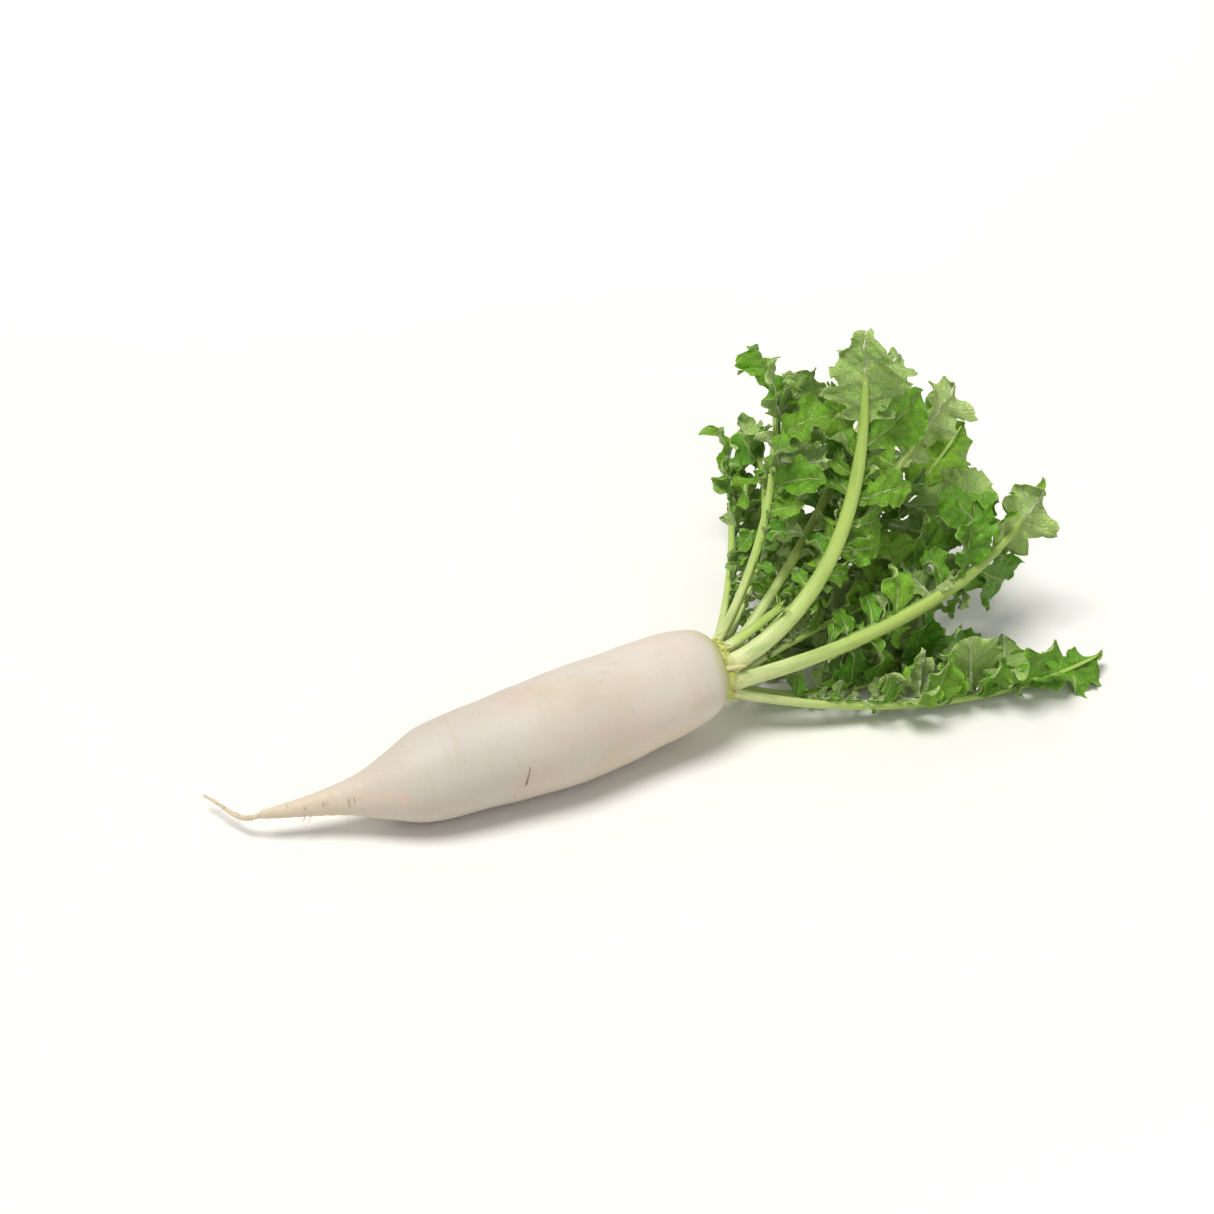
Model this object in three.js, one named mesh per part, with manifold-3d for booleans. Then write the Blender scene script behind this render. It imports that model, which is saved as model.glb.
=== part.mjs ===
// A white radish (daikon) as pulled, lying on its side: one taproot with its thin tail, and the
// rosette of twelve lobed leaves on its crown. Millimetres, +Z up, +X from the tail to the leaves.
// The origin lies on the flat spot on which the root rests.
import * as THREE from "three";
import { mergeVertices } from "three/addons/utils/BufferGeometryUtils.js";
import Module from "manifold-3d";

const wasm = await Module();
wasm.setup();

// ---- Driving dimensions ---------------------------------------------------------------------

const SKIN = { color: 0xefe8dc, roughness: 0.45 };
const STALK = { color: 0xa6c060, roughness: 0.5 };
const BLADE = { color: 0x4d8a34, roughness: 0.6 };

// The root's middle line, from the crown to the tail: x, and the sideways and upward place there.
const ROOT_LINE = [
  [143, 10.6, 36.5],
  [126, 11, 35.9],
  [98, 9.8, 33.1],
  [70, 6.8, 30.7],
  [43, 2, 31.1],
  [15, 0, 29.5],
  [-11, -0.6, 27.6],
  [-25, -1.2, 26.5],
  [-38, -1.4, 25.4],
  [-51, -2.6, 24.6],
  [-64, -1.8, 23.4],
  [-76, 1, 21.8],
  [-88, 4.2, 19.9],
  [-101, 7.4, 17.9],
  [-113, 11, 16.2],
  [-122, 13.6, 15],
];
// The root's radius at each distance from the shoulder's end, where the crown stands on it.
const ROOT_GIRTH = [
  [0.4, 17.7],
  [1.8, 19.6],
  [4.5, 22],
  [9, 24.4],
  [17, 26.7],
  [27, 28.4],
  [40, 29.4],
  [56, 30.4],
  [72, 31.3],
  [90, 31.7],
  [109, 30.9],
  [123, 30],
  [136, 29],
  [149, 28.1],
  [163, 27],
  [171, 26],
  [177, 24.6],
  [183, 22.6],
  [189, 20],
  [196, 16.9],
  [203, 13.9],
  [212, 10.6],
  [222, 8],
  [234, 5.8],
  [246, 4],
  [255, 2.9],
  [260, 2.2],
];
const SHOULDER_END = 138;
const ROOT_SIDES = 24;
const CROWN_HEIGHT = 5; // the leaf-bearing crown stands this far out of the shoulder
const CROWN_RADIUS = 17;
const CROWN_GIRTH = [
  [-CROWN_HEIGHT, CROWN_RADIUS],
  [-CROWN_HEIGHT + 0.8, CROWN_RADIUS + 0.4],
  [-1.4, CROWN_RADIUS],
];
const WOBBLE = 0.011; // share by which the girth is uneven
// The thread-like end of the tail.
const TAIL_THREAD = [
  [-117, 12.4, 15.6],
  [-123, 14.8, 13.6],
  [-128.5, 18, 11.2],
  [-132.5, 23.2, 10],
  [-135.4, 28.5, 10.2],
  [-138.3, 34.6, 10.6],
  [-141.3, 41.5, 10.2],
  [-144.2, 48, 9],
];
const THREAD_RADIUS = [1.7, 0.7];

// The crown carries an outer ring of large leaves and an inner ring of young ones.
const CROWN = [143.4, 10.6, 36.5];
const OUTER_RING = 13.2;
const INNER_RING = 6.2;

// A leaf: roll is where it stands round the crown, 0 at the top and + towards the back; heading and
// pitch are its course at the base and at the tip, in degrees; droop bends the tip; twist turns it.
const leafOf = (roll, ring, heading, pitch, droop, length, width, twist) => (
  { roll, ring, heading, pitch, droop, length, width, twist }
);
const LEAVES = [
  leafOf(-135, OUTER_RING, [-21, 6], [-15, 3], 10, 227, 9.4, 44),
  leafOf(180, OUTER_RING, [-9, 19], [-22, -18], 1, 185, 9, 0),
  leafOf(135, OUTER_RING, [28, 43], [-28, -23], -20, 182, 9, -10),
  leafOf(-90, OUTER_RING, [-11, 37], [9, 6], 27, 235, 9.8, -13),
  leafOf(-45, OUTER_RING, [-2, 79], [21, 81], -4, 208, 10, -10),
  leafOf(45, OUTER_RING, [23, 88], [47, 43], -63, 190, 9.4, -13),
  leafOf(90, OUTER_RING, [54, 75], [0, 28], -24, 190, 9.2, -24),
  leafOf(-150, INNER_RING, [10, 16], [12, -7], -26, 184, 6.4, -18),
  leafOf(-78, INNER_RING, [19, 32], [20, 36], -9, 219, 6.6, 10),
  leafOf(-6, INNER_RING, [28, 39], [23, 48], -35, 212, 6.4, 24),
  leafOf(66, INNER_RING, [38, 86], [26, 0], -5, 196, 6.2, 28),
  leafOf(138, INNER_RING, [25, 26], [7, 16], 23, 231, 6.2, -8),
];
// A stalk of which the leaf has been torn off.
const TORN = leafOf(0, OUTER_RING, [-6, -4], [32, 36], 0, 40, 7.6, 0);
const STALK_FLATNESS = 0.74; // the stalk's thickness as a share of its width
const STALK_TOP = 0.5; // the upper face is flat at this share of the half thickness
const STALK_TAPER = 0.42; // share of its width that the stalk loses along its length
const TIP_FROM = 0.6; // share of the length from which it also thins by the next share
const TIP_TAPER = 0.72;
const STALK_SIDES = 8;
const STALK_STEPS = 12;
const COURSE_STEPS = 56;
const GROUND = 0;

const USUAL_LENGTH = 220; // a leaf of this length has leaflets of the sizes below
const LEAFY_FROM = 0.26; // share of the length where the first leaflets stand
const LAST_LOBE_FROM = 0.75; // share of the length where the end lobe begins
const PAIRS = 7;
const SMALL_PAIRS = 2; // of which some leaflets are missing
const SMALL_MISSING = 0.4;
const LEAFLET_LENGTH = [15, 52]; // the first pair's and the last pair's
const LEAFLET_WIDTH = 0.7; // share of its length
const LEAFLET_TEETH = [1, 1, 1, 2, 2, 3, 3];
const LAST_LOBE_WIDTH = 49;
const LAST_LOBE_TEETH = 4;
const BLADE_THICKNESS = 0.8;
const GAP = 0.3; // between neighbouring pieces
const CLEARANCE = 4; // a leaflet keeps this far from every other leaf
const BENDS = [0, 18, -18, 36, 54, 72, 90]; // tried in turn, in degrees, until the leaflet is clear
const LOBE_BENDS = [0, 12, 24, 36];
const SIZES = [1, 0.8, 0.62]; // shares of the full size, tried in turn

// ---- Small tools ----------------------------------------------------------------------------

const radians = THREE.MathUtils.degToRad;
const mix = THREE.MathUtils.lerp;
const vec = (x, y, z) => new THREE.Vector3(x, y, z);

// A repeatable number from 0 to 1 for a leaf, a leaflet and a purpose.
function chance(leaf, leaflet, purpose) {
  const wave = Math.sin(leaf * 12.9898 + leaflet * 78.233 + purpose * 37.719) * 43758.5453;
  return wave - Math.floor(wave);
}

// A unit vector along a heading and a pitch, in degrees.
function course(heading, pitch) {
  const h = radians(heading);
  const p = radians(pitch);
  return vec(Math.cos(p) * Math.cos(h), Math.cos(p) * Math.sin(h), Math.sin(p));
}

// The value at x on a smooth line through the [x, value] pairs, which run upwards in x.
function along(pairs, x) {
  let i = 0;
  while (i < pairs.length - 2 && x > pairs[i + 1][0]) i += 1;
  const slope = (a, b) => (pairs[b][1] - pairs[a][1]) / (pairs[b][0] - pairs[a][0]);
  const last = pairs.length - 1;
  const m0 = slope(Math.max(i - 1, 0), i + 1);
  const m1 = slope(i, Math.min(i + 2, last));
  const span = pairs[i + 1][0] - pairs[i][0];
  const t = THREE.MathUtils.clamp((x - pairs[i][0]) / span, 0, 1);
  const [t2, t3] = [t * t, t * t * t];
  return (2 * t3 - 3 * t2 + 1) * pairs[i][1] + (t3 - 2 * t2 + t) * span * m0
    + (3 * t2 - 2 * t3) * pairs[i + 1][1] + (t3 - t2) * span * m1;
}

// A height that eases onto the ground instead of passing below it.
function lifted(z, lowest) {
  const ease = 1.2;
  const over = z - lowest;
  return lowest + (over + Math.sqrt(over * over + 4 * ease * ease)) / 2;
}

function geometryOf(points, triangles) {
  const geometry = new THREE.BufferGeometry();
  const numbers = points.flatMap((point) => point.toArray());
  geometry.setAttribute("position", new THREE.Float32BufferAttribute(numbers, 3));
  geometry.setIndex(triangles.flat());
  return geometry;
}

// A closed skin over a row of rings with the same number of points each, capped at both ends.
function loft(rings) {
  const sides = rings[0].length;
  const points = rings.flat();
  const triangles = [];
  for (let r = 0; r < rings.length - 1; r += 1) {
    for (let k = 0; k < sides; k += 1) {
      const [a, b] = [r * sides + k, r * sides + ((k + 1) % sides)];
      triangles.push([a, b, b + sides], [a, b + sides, a + sides]);
    }
  }
  for (const r of [0, rings.length - 1]) {
    const sum = rings[r].reduce((total, point) => total.add(point), vec(0, 0, 0));
    const middle = points.push(sum.divideScalar(sides)) - 1;
    for (let k = 0; k < sides; k += 1) {
      const [a, b] = [r * sides + k, r * sides + ((k + 1) % sides)];
      triangles.push(r === 0 ? [middle, b, a] : [middle, a, b]);
    }
  }
  return geometryOf(points, triangles);
}

function solidOf(geometry) {
  const bare = geometry.clone();
  for (const name of Object.keys(bare.attributes)) if (name !== "position") bare.deleteAttribute(name);
  const merged = mergeVertices(bare, 1e-4);
  return new wasm.Manifold(new wasm.Mesh({
    numProp: 3,
    vertProperties: merged.attributes.position.array,
    triVerts: new Uint32Array(merged.index.array),
  }));
}

function geometryFrom(solid) {
  const { vertProperties, triVerts, numProp } = solid.getMesh();
  const points = [];
  for (let i = 0; i < vertProperties.length; i += numProp) {
    points.push(vec(...vertProperties.subarray(i, i + 3)));
  }
  const triangles = [];
  for (let i = 0; i < triVerts.length; i += 3) triangles.push([...triVerts.subarray(i, i + 3)]);
  return geometryOf(points, triangles);
}

// ---- The root -------------------------------------------------------------------------------

const rootPlace = (x) => vec(
  x,
  along(ROOT_LINE.map(([at, y]) => [-at, y]), -x),
  along(ROOT_LINE.map(([at, , z]) => [-at, z]), -x),
);

// Rings round the root's middle line, a little uneven as a grown root is.
function rootRings() {
  return [...CROWN_GIRTH, ...ROOT_GIRTH].map(([distance, radius]) => {
    const middle = rootPlace(SHOULDER_END - distance);
    return Array.from({ length: ROOT_SIDES }, (_, k) => {
      const angle = (2 * Math.PI * k) / ROOT_SIDES;
      const uneven = Math.sin(3 * angle + distance * 0.035) + Math.sin(2 * angle - distance * 0.02);
      const reach = radius * (1 + WOBBLE * uneven);
      return middle.clone().add(vec(0, reach * Math.sin(angle), reach * Math.cos(angle)));
    });
  });
}

// A round thread through the given points, thinning from the first radius to the second.
function thread(points, [thick, thin], sides = 6, steps = 14) {
  const curve = new THREE.CatmullRomCurve3(points.map((p) => vec(...p)));
  const rings = Array.from({ length: steps + 1 }, (_, i) => {
    const t = i / steps;
    const middle = curve.getPoint(t);
    const ahead = curve.getTangent(t);
    const side = vec(0, 0, 1).cross(ahead).normalize();
    const up = ahead.clone().cross(side);
    const radius = mix(thick, thin, t);
    return Array.from({ length: sides }, (_, k) => {
      const angle = (2 * Math.PI * k) / sides;
      const spoke = side.clone().multiplyScalar(Math.cos(angle)).addScaledVector(up, Math.sin(angle));
      return middle.clone().addScaledVector(spoke, radius);
    });
  });
  return loft(rings);
}

function rootSolid() {
  const body = solidOf(loft(rootRings()));
  const tail = solidOf(thread(TAIL_THREAD, THREAD_RADIUS));
  const underground = new THREE.BoxGeometry(700, 300, 40).translate(0, 0, GROUND - 20);
  return body.add(tail).subtract(solidOf(underground));
}

// ---- Leaves ---------------------------------------------------------------------------------

// Half the stalk's width at a share of the leaf's length: it thins slowly, and faster in the blade.
function stalkHalf(leaf, t) {
  const tip = leaf === TORN ? 0 : Math.max(0, (t - TIP_FROM) / (1 - TIP_FROM)) ** 1.2;
  return (leaf.width / 2) * (1 - STALK_TAPER * t) * (1 - TIP_TAPER * tip);
}

// The leaf's course in even steps: at each, its place, the way ahead, the side and the upper face.
function leafCourse(leaf) {
  const outward = vec(0, Math.sin(radians(leaf.roll)), Math.cos(radians(leaf.roll)));
  const places = [vec(...CROWN).addScaledVector(outward, leaf.ring)];
  for (let i = 1; i <= COURSE_STEPS; i += 1) {
    const t = (i - 0.5) / COURSE_STEPS;
    const bent = Math.max(0, t - 0.5) ** 2 * 4 * leaf.droop;
    const way = course(mix(...leaf.heading, t), mix(...leaf.pitch, t) + bent);
    places.push(places.at(-1).clone().addScaledVector(way, leaf.length / COURSE_STEPS));
  }
  places.forEach((p, i) => p.setZ(lifted(p.z, GROUND + stalkHalf(leaf, i / COURSE_STEPS))));
  let face = outward.clone().negate();
  return places.map((place, i) => {
    const way = places[Math.min(i + 1, COURSE_STEPS)].clone().sub(places[Math.max(i - 1, 0)]).normalize();
    face = face.clone().addScaledVector(way, -face.dot(way)).normalize();
    const turned = face.clone().applyAxisAngle(way, radians(leaf.twist * i) / COURSE_STEPS);
    return { place, way, face: turned, side: way.clone().cross(turned) };
  });
}

// The frame of the leaf at a share of its length, between two steps of its course.
function frameAt(steps, t) {
  const at = THREE.MathUtils.clamp(t, 0, 1) * COURSE_STEPS;
  const i = Math.min(Math.floor(at), COURSE_STEPS - 1);
  const between = (key) => steps[i][key].clone().lerp(steps[i + 1][key], at - i);
  return {
    place: between("place"),
    way: between("way").normalize(),
    face: between("face").normalize(),
    side: between("side").normalize(),
  };
}

// The stalk with the midrib: half round below, flat above, its base cut flush with the crown.
function stalkGeometry(leaf, steps) {
  const rings = Array.from({ length: STALK_STEPS + 1 }, (_, i) => {
    const t = 0.985 * (i / STALK_STEPS);
    const { place, way, side, face } = frameAt(steps, t);
    const half = stalkHalf(leaf, t);
    return Array.from({ length: STALK_SIDES }, (_unused, k) => {
      const angle = (-2 * Math.PI * k) / STALK_SIDES;
      const height = Math.min(Math.sin(angle), STALK_TOP) * half * STALK_FLATNESS;
      const point = place.clone().addScaledVector(face, height);
      point.addScaledVector(side, half * Math.cos(angle));
      if (i > 0) return point;
      return point.addScaledVector(way, (CROWN[0] - point.x) / way.x);
    });
  });
  return loft(rings);
}

// A point of the blade's middle strip, which lies on the stalk's flat upper face.
function stripAt(leaf, steps, t, across) {
  const frame = frameAt(steps, t);
  const half = stalkHalf(leaf, t);
  const height = half * STALK_FLATNESS * STALK_TOP + GAP + BLADE_THICKNESS / 2;
  const point = frame.place.clone().addScaledVector(frame.side, (half * 0.8 + 0.7) * across);
  return { ...frame, point: point.addScaledVector(frame.face, height) };
}

// Half the width at a share of the length, 1 at the widest: it goes in and out with the teeth.
// Under 1 the lean puts the widest place nearer the base, over 1 nearer the tip.
function outline(share, rows, depth, lean) {
  const body = Math.sin(Math.PI * share ** lean) ** (lean * 0.85);
  const notch = Math.abs((((share * rows) / 2) % 1) * 2 - 1);
  return Math.max(body, 0) * (1 - depth * notch);
}

// A leaflet's size and set: side -1 or 1, pair from the base upwards. Some of the small ones are missing.
function leafletPlan({ leaf, number }, side, pair) {
  const key = pair * 2 + (side > 0 ? 1 : 0);
  if (pair < SMALL_PAIRS && chance(number, key, 9) < SMALL_MISSING) return null;
  const grown = pair / (PAIRS - 1);
  const step = (LAST_LOBE_FROM - LEAFY_FROM) / PAIRS;
  const row = side > 0 ? 1 : 0;
  const teeth = LEAFLET_TEETH[pair];
  const vigour = mix(0.82, 1.15, chance(number, key, 1)) * (leaf.length / USUAL_LENGTH);
  const length = mix(...LEAFLET_LENGTH, grown) * vigour;
  return {
    side,
    base: [row, row + 1, row + 2].map((k) => LEAFY_FROM + step * (pair + k * 0.22)),
    length,
    half: (length * LEAFLET_WIDTH * mix(0.9, 1.2, chance(number, key, 2))) / 2,
    forward: mix(14, 36, chance(number, key, 3)) + 10 * grown,
    rise: mix(-5, 50, chance(number, key, 4)),
    curl: mix(15, 80, chance(number, key, 5)),
    turn: mix(-28, 28, chance(number, key, 8)),
    fold: mix(2, 24, chance(number, key, 6)),
    phase: chance(number, key, 7),
    rows: teeth * 2 + 1,
  };
}

// The waving of an edge: height per unit of width at a share of the length.
function ruffle(share, across, waves, phase) {
  return share ** 0.5 * Math.sin(2 * Math.PI * (waves * share + phase + (across > 0 ? 0.38 : 0)));
}

// A point of the leaflet: share runs from its base to its tip, across from -1 to 1.
function leafletPoint({ leaf, steps }, plan, bend, share, across) {
  const foot = stripAt(leaf, steps, plan.base[1], plan.side);
  const forward = radians(plan.forward);
  const rise = radians(plan.rise + bend);
  const level = foot.side.clone().multiplyScalar(plan.side * Math.cos(forward));
  level.addScaledVector(foot.way, Math.sin(forward)).multiplyScalar(Math.cos(rise));
  const start = level.addScaledVector(foot.face, Math.sin(rise)).normalize();
  const width = foot.way.clone().addScaledVector(start, -foot.way.dot(start)).normalize();
  width.applyAxisAngle(start, radians(plan.turn * share));
  const normal = start.clone().cross(width).multiplyScalar(-plan.side);
  const curl = radians(plan.curl);
  const reach = (plan.length * Math.sin(curl * share)) / curl;
  const drop = (plan.length * (1 - Math.cos(curl * share))) / curl;
  const half = plan.half * outline(share, plan.rows, 0.28, 1.1);
  const slope = Math.tan(radians(plan.fold)) + 0.3 * ruffle(share, across, 1.3, plan.phase);
  const upper = normal.clone().multiplyScalar(Math.cos(curl * share));
  upper.addScaledVector(start, Math.sin(curl * share));
  const point = foot.point.clone().addScaledVector(start, reach).addScaledVector(normal, -drop);
  point.addScaledVector(width, half * across).addScaledVector(upper, half * Math.abs(across) * slope);
  return point.setZ(lifted(point.z, GROUND + 0.5));
}

// A point of the end lobe, which follows the rest of the leaf's course.
function lobePoint({ leaf, steps }, plan, bend, share, across) {
  const foot = stripAt(leaf, steps, mix(LAST_LOBE_FROM, 1, share), 0);
  const half = plan.half * outline(share, plan.rows, 0.26, 0.85);
  const fold = radians(plan.fold + bend);
  const arch = Math.abs(across);
  const lift = arch * (Math.sin(fold) + 0.34 * arch * ruffle(share, across, 1.6, plan.phase));
  const point = foot.point.clone().addScaledVector(foot.side, half * across * Math.cos(fold));
  point.addScaledVector(foot.face, half * lift);
  return point.setZ(lifted(point.z, GROUND + 0.5));
}

// Points spread over a leaflet, by which its distance from others is found.
function probes(place, rows) {
  const shares = Array.from({ length: 2 * rows - 1 }, (_, i) => (i + 2) / (2 * rows));
  const far = shares.filter((share) => share > 0.25);
  return far.flatMap((share) => [-1, -0.5, 0, 0.5, 1].map((across) => place(share, across)));
}

function nearest(points, others) {
  let best = Infinity;
  for (const p of points) for (const q of others) best = Math.min(best, p.distanceToSquared(q));
  return Math.sqrt(best);
}

// The plan at the first size and bend at which the leaflet is clear of all other leaves, or null.
function settled(plant, plants, plan, pointOf, bends) {
  const others = plants.filter((other) => other !== plant);
  const taken = others.flatMap((other) => [...other.stalk, ...other.taken]);
  const fromStalk = plan.base ? stalkHalf(plant.leaf, plan.base[0]) + 1 : 0;
  for (const size of SIZES) {
    const sized = { ...plan, half: plan.half * size, length: plan.length * size };
    for (const bend of bends) {
      const points = probes((share, across) => pointOf(plant, sized, bend, share, across), plan.rows);
      const clear = nearest(points, taken) > CLEARANCE
        && nearest(points, plant.taken) > CLEARANCE * 0.7
        && (!plan.base || nearest(points, plant.stalk) > fromStalk);
      if (clear) {
        plant.taken.push(...points);
        return { ...sized, bend };
      }
    }
  }
  return null;
}

// The end lobe's size and set.
function lobePlan({ leaf, number }) {
  const key = 2 * PAIRS;
  const vigour = mix(0.85, 1.15, chance(number, key, 2)) * (leaf.length / USUAL_LENGTH);
  return {
    half: (LAST_LOBE_WIDTH / 2) * vigour,
    fold: mix(11, 28, chance(number, key, 6)),
    phase: chance(number, key, 7),
    rows: 2 * LAST_LOBE_TEETH + 1,
  };
}

// Sets out all leaves: end lobes first, then the leaflets from the largest pair to the smallest.
function planLeaves() {
  const plants = LEAVES.map((leaf, number) => {
    const steps = leafCourse(leaf);
    return { leaf, number, steps, stalk: steps.map((step) => step.place), taken: [], leaflets: [] };
  });
  for (const plant of plants) {
    plant.lobe = settled(plant, plants, lobePlan(plant), lobePoint, LOBE_BENDS);
    if (!plant.lobe) throw new Error(`the end lobe of leaf ${plant.number + 1} has no room`);
  }
  for (let pair = PAIRS - 1; pair >= 0; pair -= 1) {
    for (const plant of plants) {
      for (const side of [-1, 1]) {
        const plan = leafletPlan(plant, side, pair);
        const leaflet = plan && settled(plant, plants, plan, leafletPoint, BENDS);
        if (leaflet) plant.leaflets.push(leaflet);
      }
    }
  }
  return plants;
}

// Joins two rows of the sheet's points; a row's points run from the left edge to the right one.
function bridge(triangles, row, next) {
  for (let k = 0; k < row.length - 1; k += 1) {
    if (next.length === 1) triangles.push([row[k], row[k + 1], next[0]]);
    else triangles.push([row[k], row[k + 1], next[k + 1]], [row[k], next[k + 1], next[k]]);
  }
}

// The blade as one thin sheet: the strip on the stalk, the leaflets on its edges and the end lobe.
function bladeGeometry(plant) {
  const { leaf, steps, leaflets, lobe } = plant;
  const points = [];
  const triangles = [];
  const rowOf = (places) => places.map((place) => points.push(place) - 1);
  const feet = leaflets.flatMap((leaflet) => leaflet.base);
  const shares = [...new Set([LEAFY_FROM, LAST_LOBE_FROM, ...feet])].sort((a, b) => a - b);
  const strip = shares.map((t) => rowOf([-1, 0, 1].map((across) => stripAt(leaf, steps, t, across).point)));
  strip.slice(1).forEach((row, i) => bridge(triangles, strip[i], row));
  const growth = (plan, pointOf, acrosses) => Array.from({ length: plan.rows }, (_, i) => {
    const share = (i + 1) / plan.rows;
    const columns = share === 1 ? [0] : acrosses;
    return rowOf(columns.map((across) => pointOf(plant, plan, plan.bend, share, across)));
  });
  for (const plan of leaflets) {
    const edge = plan.side < 0 ? 0 : 2;
    const foot = plan.base.map((t) => strip[shares.indexOf(t)][edge]);
    const rows = [foot, ...growth(plan, leafletPoint, [-1, 0, 1])];
    if (plan.side > 0) rows.forEach((row) => row.reverse());
    rows.slice(1).forEach((row, i) => bridge(triangles, rows[i], row));
  }
  const rows = growth(lobe, lobePoint, [-1, -0.5, 0, 0.5, 1]);
  const [left, middle, right] = strip.at(-1);
  const [a, b, c, d, e] = rows[0];
  triangles.push([left, b, a], [left, middle, b], [middle, c, b]);
  triangles.push([middle, d, c], [middle, right, d], [right, e, d]);
  rows.slice(1).forEach((row, i) => bridge(triangles, rows[i], row));
  return thickened(points, triangles, BLADE_THICKNESS);
}

// Turns a sheet of triangles into a closed solid of even thickness, split alike on both faces.
function thickened(points, triangles, thickness) {
  const normals = points.map(() => vec(0, 0, 0));
  for (const [a, b, c] of triangles) {
    const normal = points[b].clone().sub(points[a]).cross(points[c].clone().sub(points[a])).normalize();
    for (const i of [a, b, c]) normals[i].add(normal);
  }
  normals.forEach((normal) => normal.setLength(thickness / 2));
  const count = points.length;
  const upper = points.map((p, i) => p.clone().add(normals[i]));
  const lower = points.map((p, i) => p.clone().sub(normals[i]));
  const faces = triangles.flatMap(([a, b, c]) => [[a, b, c], [a + count, c + count, b + count]]);
  const edges = triangles.flatMap(([a, b, c]) => [[a, b], [b, c], [c, a]]);
  const known = new Set(edges.map(([from, to]) => `${from} ${to}`));
  for (const [from, to] of edges) {
    if (!known.has(`${to} ${from}`)) faces.push([from, from + count, to + count], [from, to + count, to]);
  }
  return geometryOf([...upper, ...lower], faces);
}

// ---- The whole plant ------------------------------------------------------------------------

function meshOf(name, geometry, look) {
  const mesh = new THREE.Mesh(geometry, new THREE.MeshStandardMaterial({ ...look, metalness: 0 }));
  mesh.name = name;
  return mesh;
}

const radish = new THREE.Group();
radish.add(meshOf("root", geometryFrom(rootSolid()), SKIN));
radish.add(meshOf("torn_stalk", stalkGeometry(TORN, leafCourse(TORN)), STALK));
planLeaves().forEach((plant) => {
  const label = String(plant.number + 1).padStart(2, "0");
  radish.add(meshOf(`stalk_${label}`, stalkGeometry(plant.leaf, plant.steps), STALK));
  radish.add(meshOf(`blade_${label}`, bladeGeometry(plant), BLADE));
});

export default radish;
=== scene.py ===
"""A white radish as pulled, lying on its side: a smooth taproot, its thin tail and its leaves.

Metres, +Z up, +X from the tail to the leaves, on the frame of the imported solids. The classes
that make pieces, and the skin's marks, hold millimetres and degrees, and pieces are scaled to
metres as built. The studio, the skin's finish and the depths of the reliefs are in metres.
"""

import logging
import math
from dataclasses import dataclass, field, replace
from enum import Enum
from typing import Iterable, Optional, Sequence, Union

import bmesh
import bpy
import numpy as np
from mathutils import Matrix, Vector
from mathutils.bvhtree import BVHTree


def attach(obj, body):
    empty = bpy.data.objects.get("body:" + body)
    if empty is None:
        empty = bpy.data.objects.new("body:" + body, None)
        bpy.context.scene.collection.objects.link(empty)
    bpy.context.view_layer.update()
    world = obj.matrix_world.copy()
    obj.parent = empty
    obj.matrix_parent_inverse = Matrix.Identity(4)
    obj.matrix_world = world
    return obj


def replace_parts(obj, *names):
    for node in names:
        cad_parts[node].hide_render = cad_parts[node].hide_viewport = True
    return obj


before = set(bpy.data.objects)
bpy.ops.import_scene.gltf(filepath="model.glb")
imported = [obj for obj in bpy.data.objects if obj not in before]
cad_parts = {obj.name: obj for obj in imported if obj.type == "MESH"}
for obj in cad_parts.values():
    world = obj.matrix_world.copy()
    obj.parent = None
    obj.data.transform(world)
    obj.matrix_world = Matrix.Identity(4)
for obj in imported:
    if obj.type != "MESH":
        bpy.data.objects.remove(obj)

LOG = logging.getLogger("radish")
MM = 0.001
GROUND = 0.0
BODY = "root"
NO_LEAF = -1  # the owner of surfaces that belong to no leaf

Triple = tuple[float, float, float]


# ---- Small tools --------------------------------------------------------------------------


def chance(leaf: int, leaflet: int, purpose: int) -> float:
    """A repeatable number from 0 to 1 for a leaf, a leaflet and a purpose.

    Pieces that are no leaves draw by a leaf number of their own, which no leaf has.
    """
    wave = math.sin(leaf * 12.9898 + leaflet * 78.233 + purpose * 37.719) * 43758.5453
    return wave - math.floor(wave)


def mix(low: float, high: float, share: float) -> float:
    """The number at a share of the way from low to high."""
    return (1 - share) * low + share * high


def unit(vectors: np.ndarray) -> np.ndarray:
    """The vectors scaled to length 1."""
    length = np.linalg.norm(vectors, axis=-1, keepdims=True)
    return vectors / np.maximum(length, 1e-12)


def smooth(low: float, high: float, value: np.ndarray) -> np.ndarray:
    """A soft step from 0 at low to 1 at high."""
    share = np.clip((np.asarray(value, float) - low) / (high - low), 0, 1)
    return share * share * (3 - 2 * share)


def course_way(heading: float, pitch: float) -> np.ndarray:
    """A unit vector along a heading and a pitch, in degrees."""
    h, p = math.radians(heading), math.radians(pitch)
    return np.array([math.cos(p) * math.cos(h), math.cos(p) * math.sin(h), math.sin(p)])


def along(pairs: np.ndarray, at: np.ndarray) -> np.ndarray:
    """The values on a smooth line through pairs.

    Args:
        pairs: Rows of a place and a value, with the places running upwards.
        at: The places at which the value is wanted.

    Returns:
        The value at each place, held at the line's ends.
    """
    x, y = pairs[:, 0], pairs[:, 1]
    last = len(x) - 1
    i = np.clip(np.searchsorted(x, at, side="left") - 1, 0, last - 1)
    before, after = np.maximum(i - 1, 0), np.minimum(i + 2, last)
    m0 = (y[i + 1] - y[before]) / (x[i + 1] - x[before])
    m1 = (y[after] - y[i]) / (x[after] - x[i])
    span = x[i + 1] - x[i]
    t = np.clip((at - x[i]) / span, 0, 1)
    t2, t3 = t * t, t * t * t
    start = (2 * t3 - 3 * t2 + 1) * y[i] + (t3 - 2 * t2 + t) * span * m0
    return start + (3 * t2 - 2 * t3) * y[i + 1] + (t3 - t2) * span * m1


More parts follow.
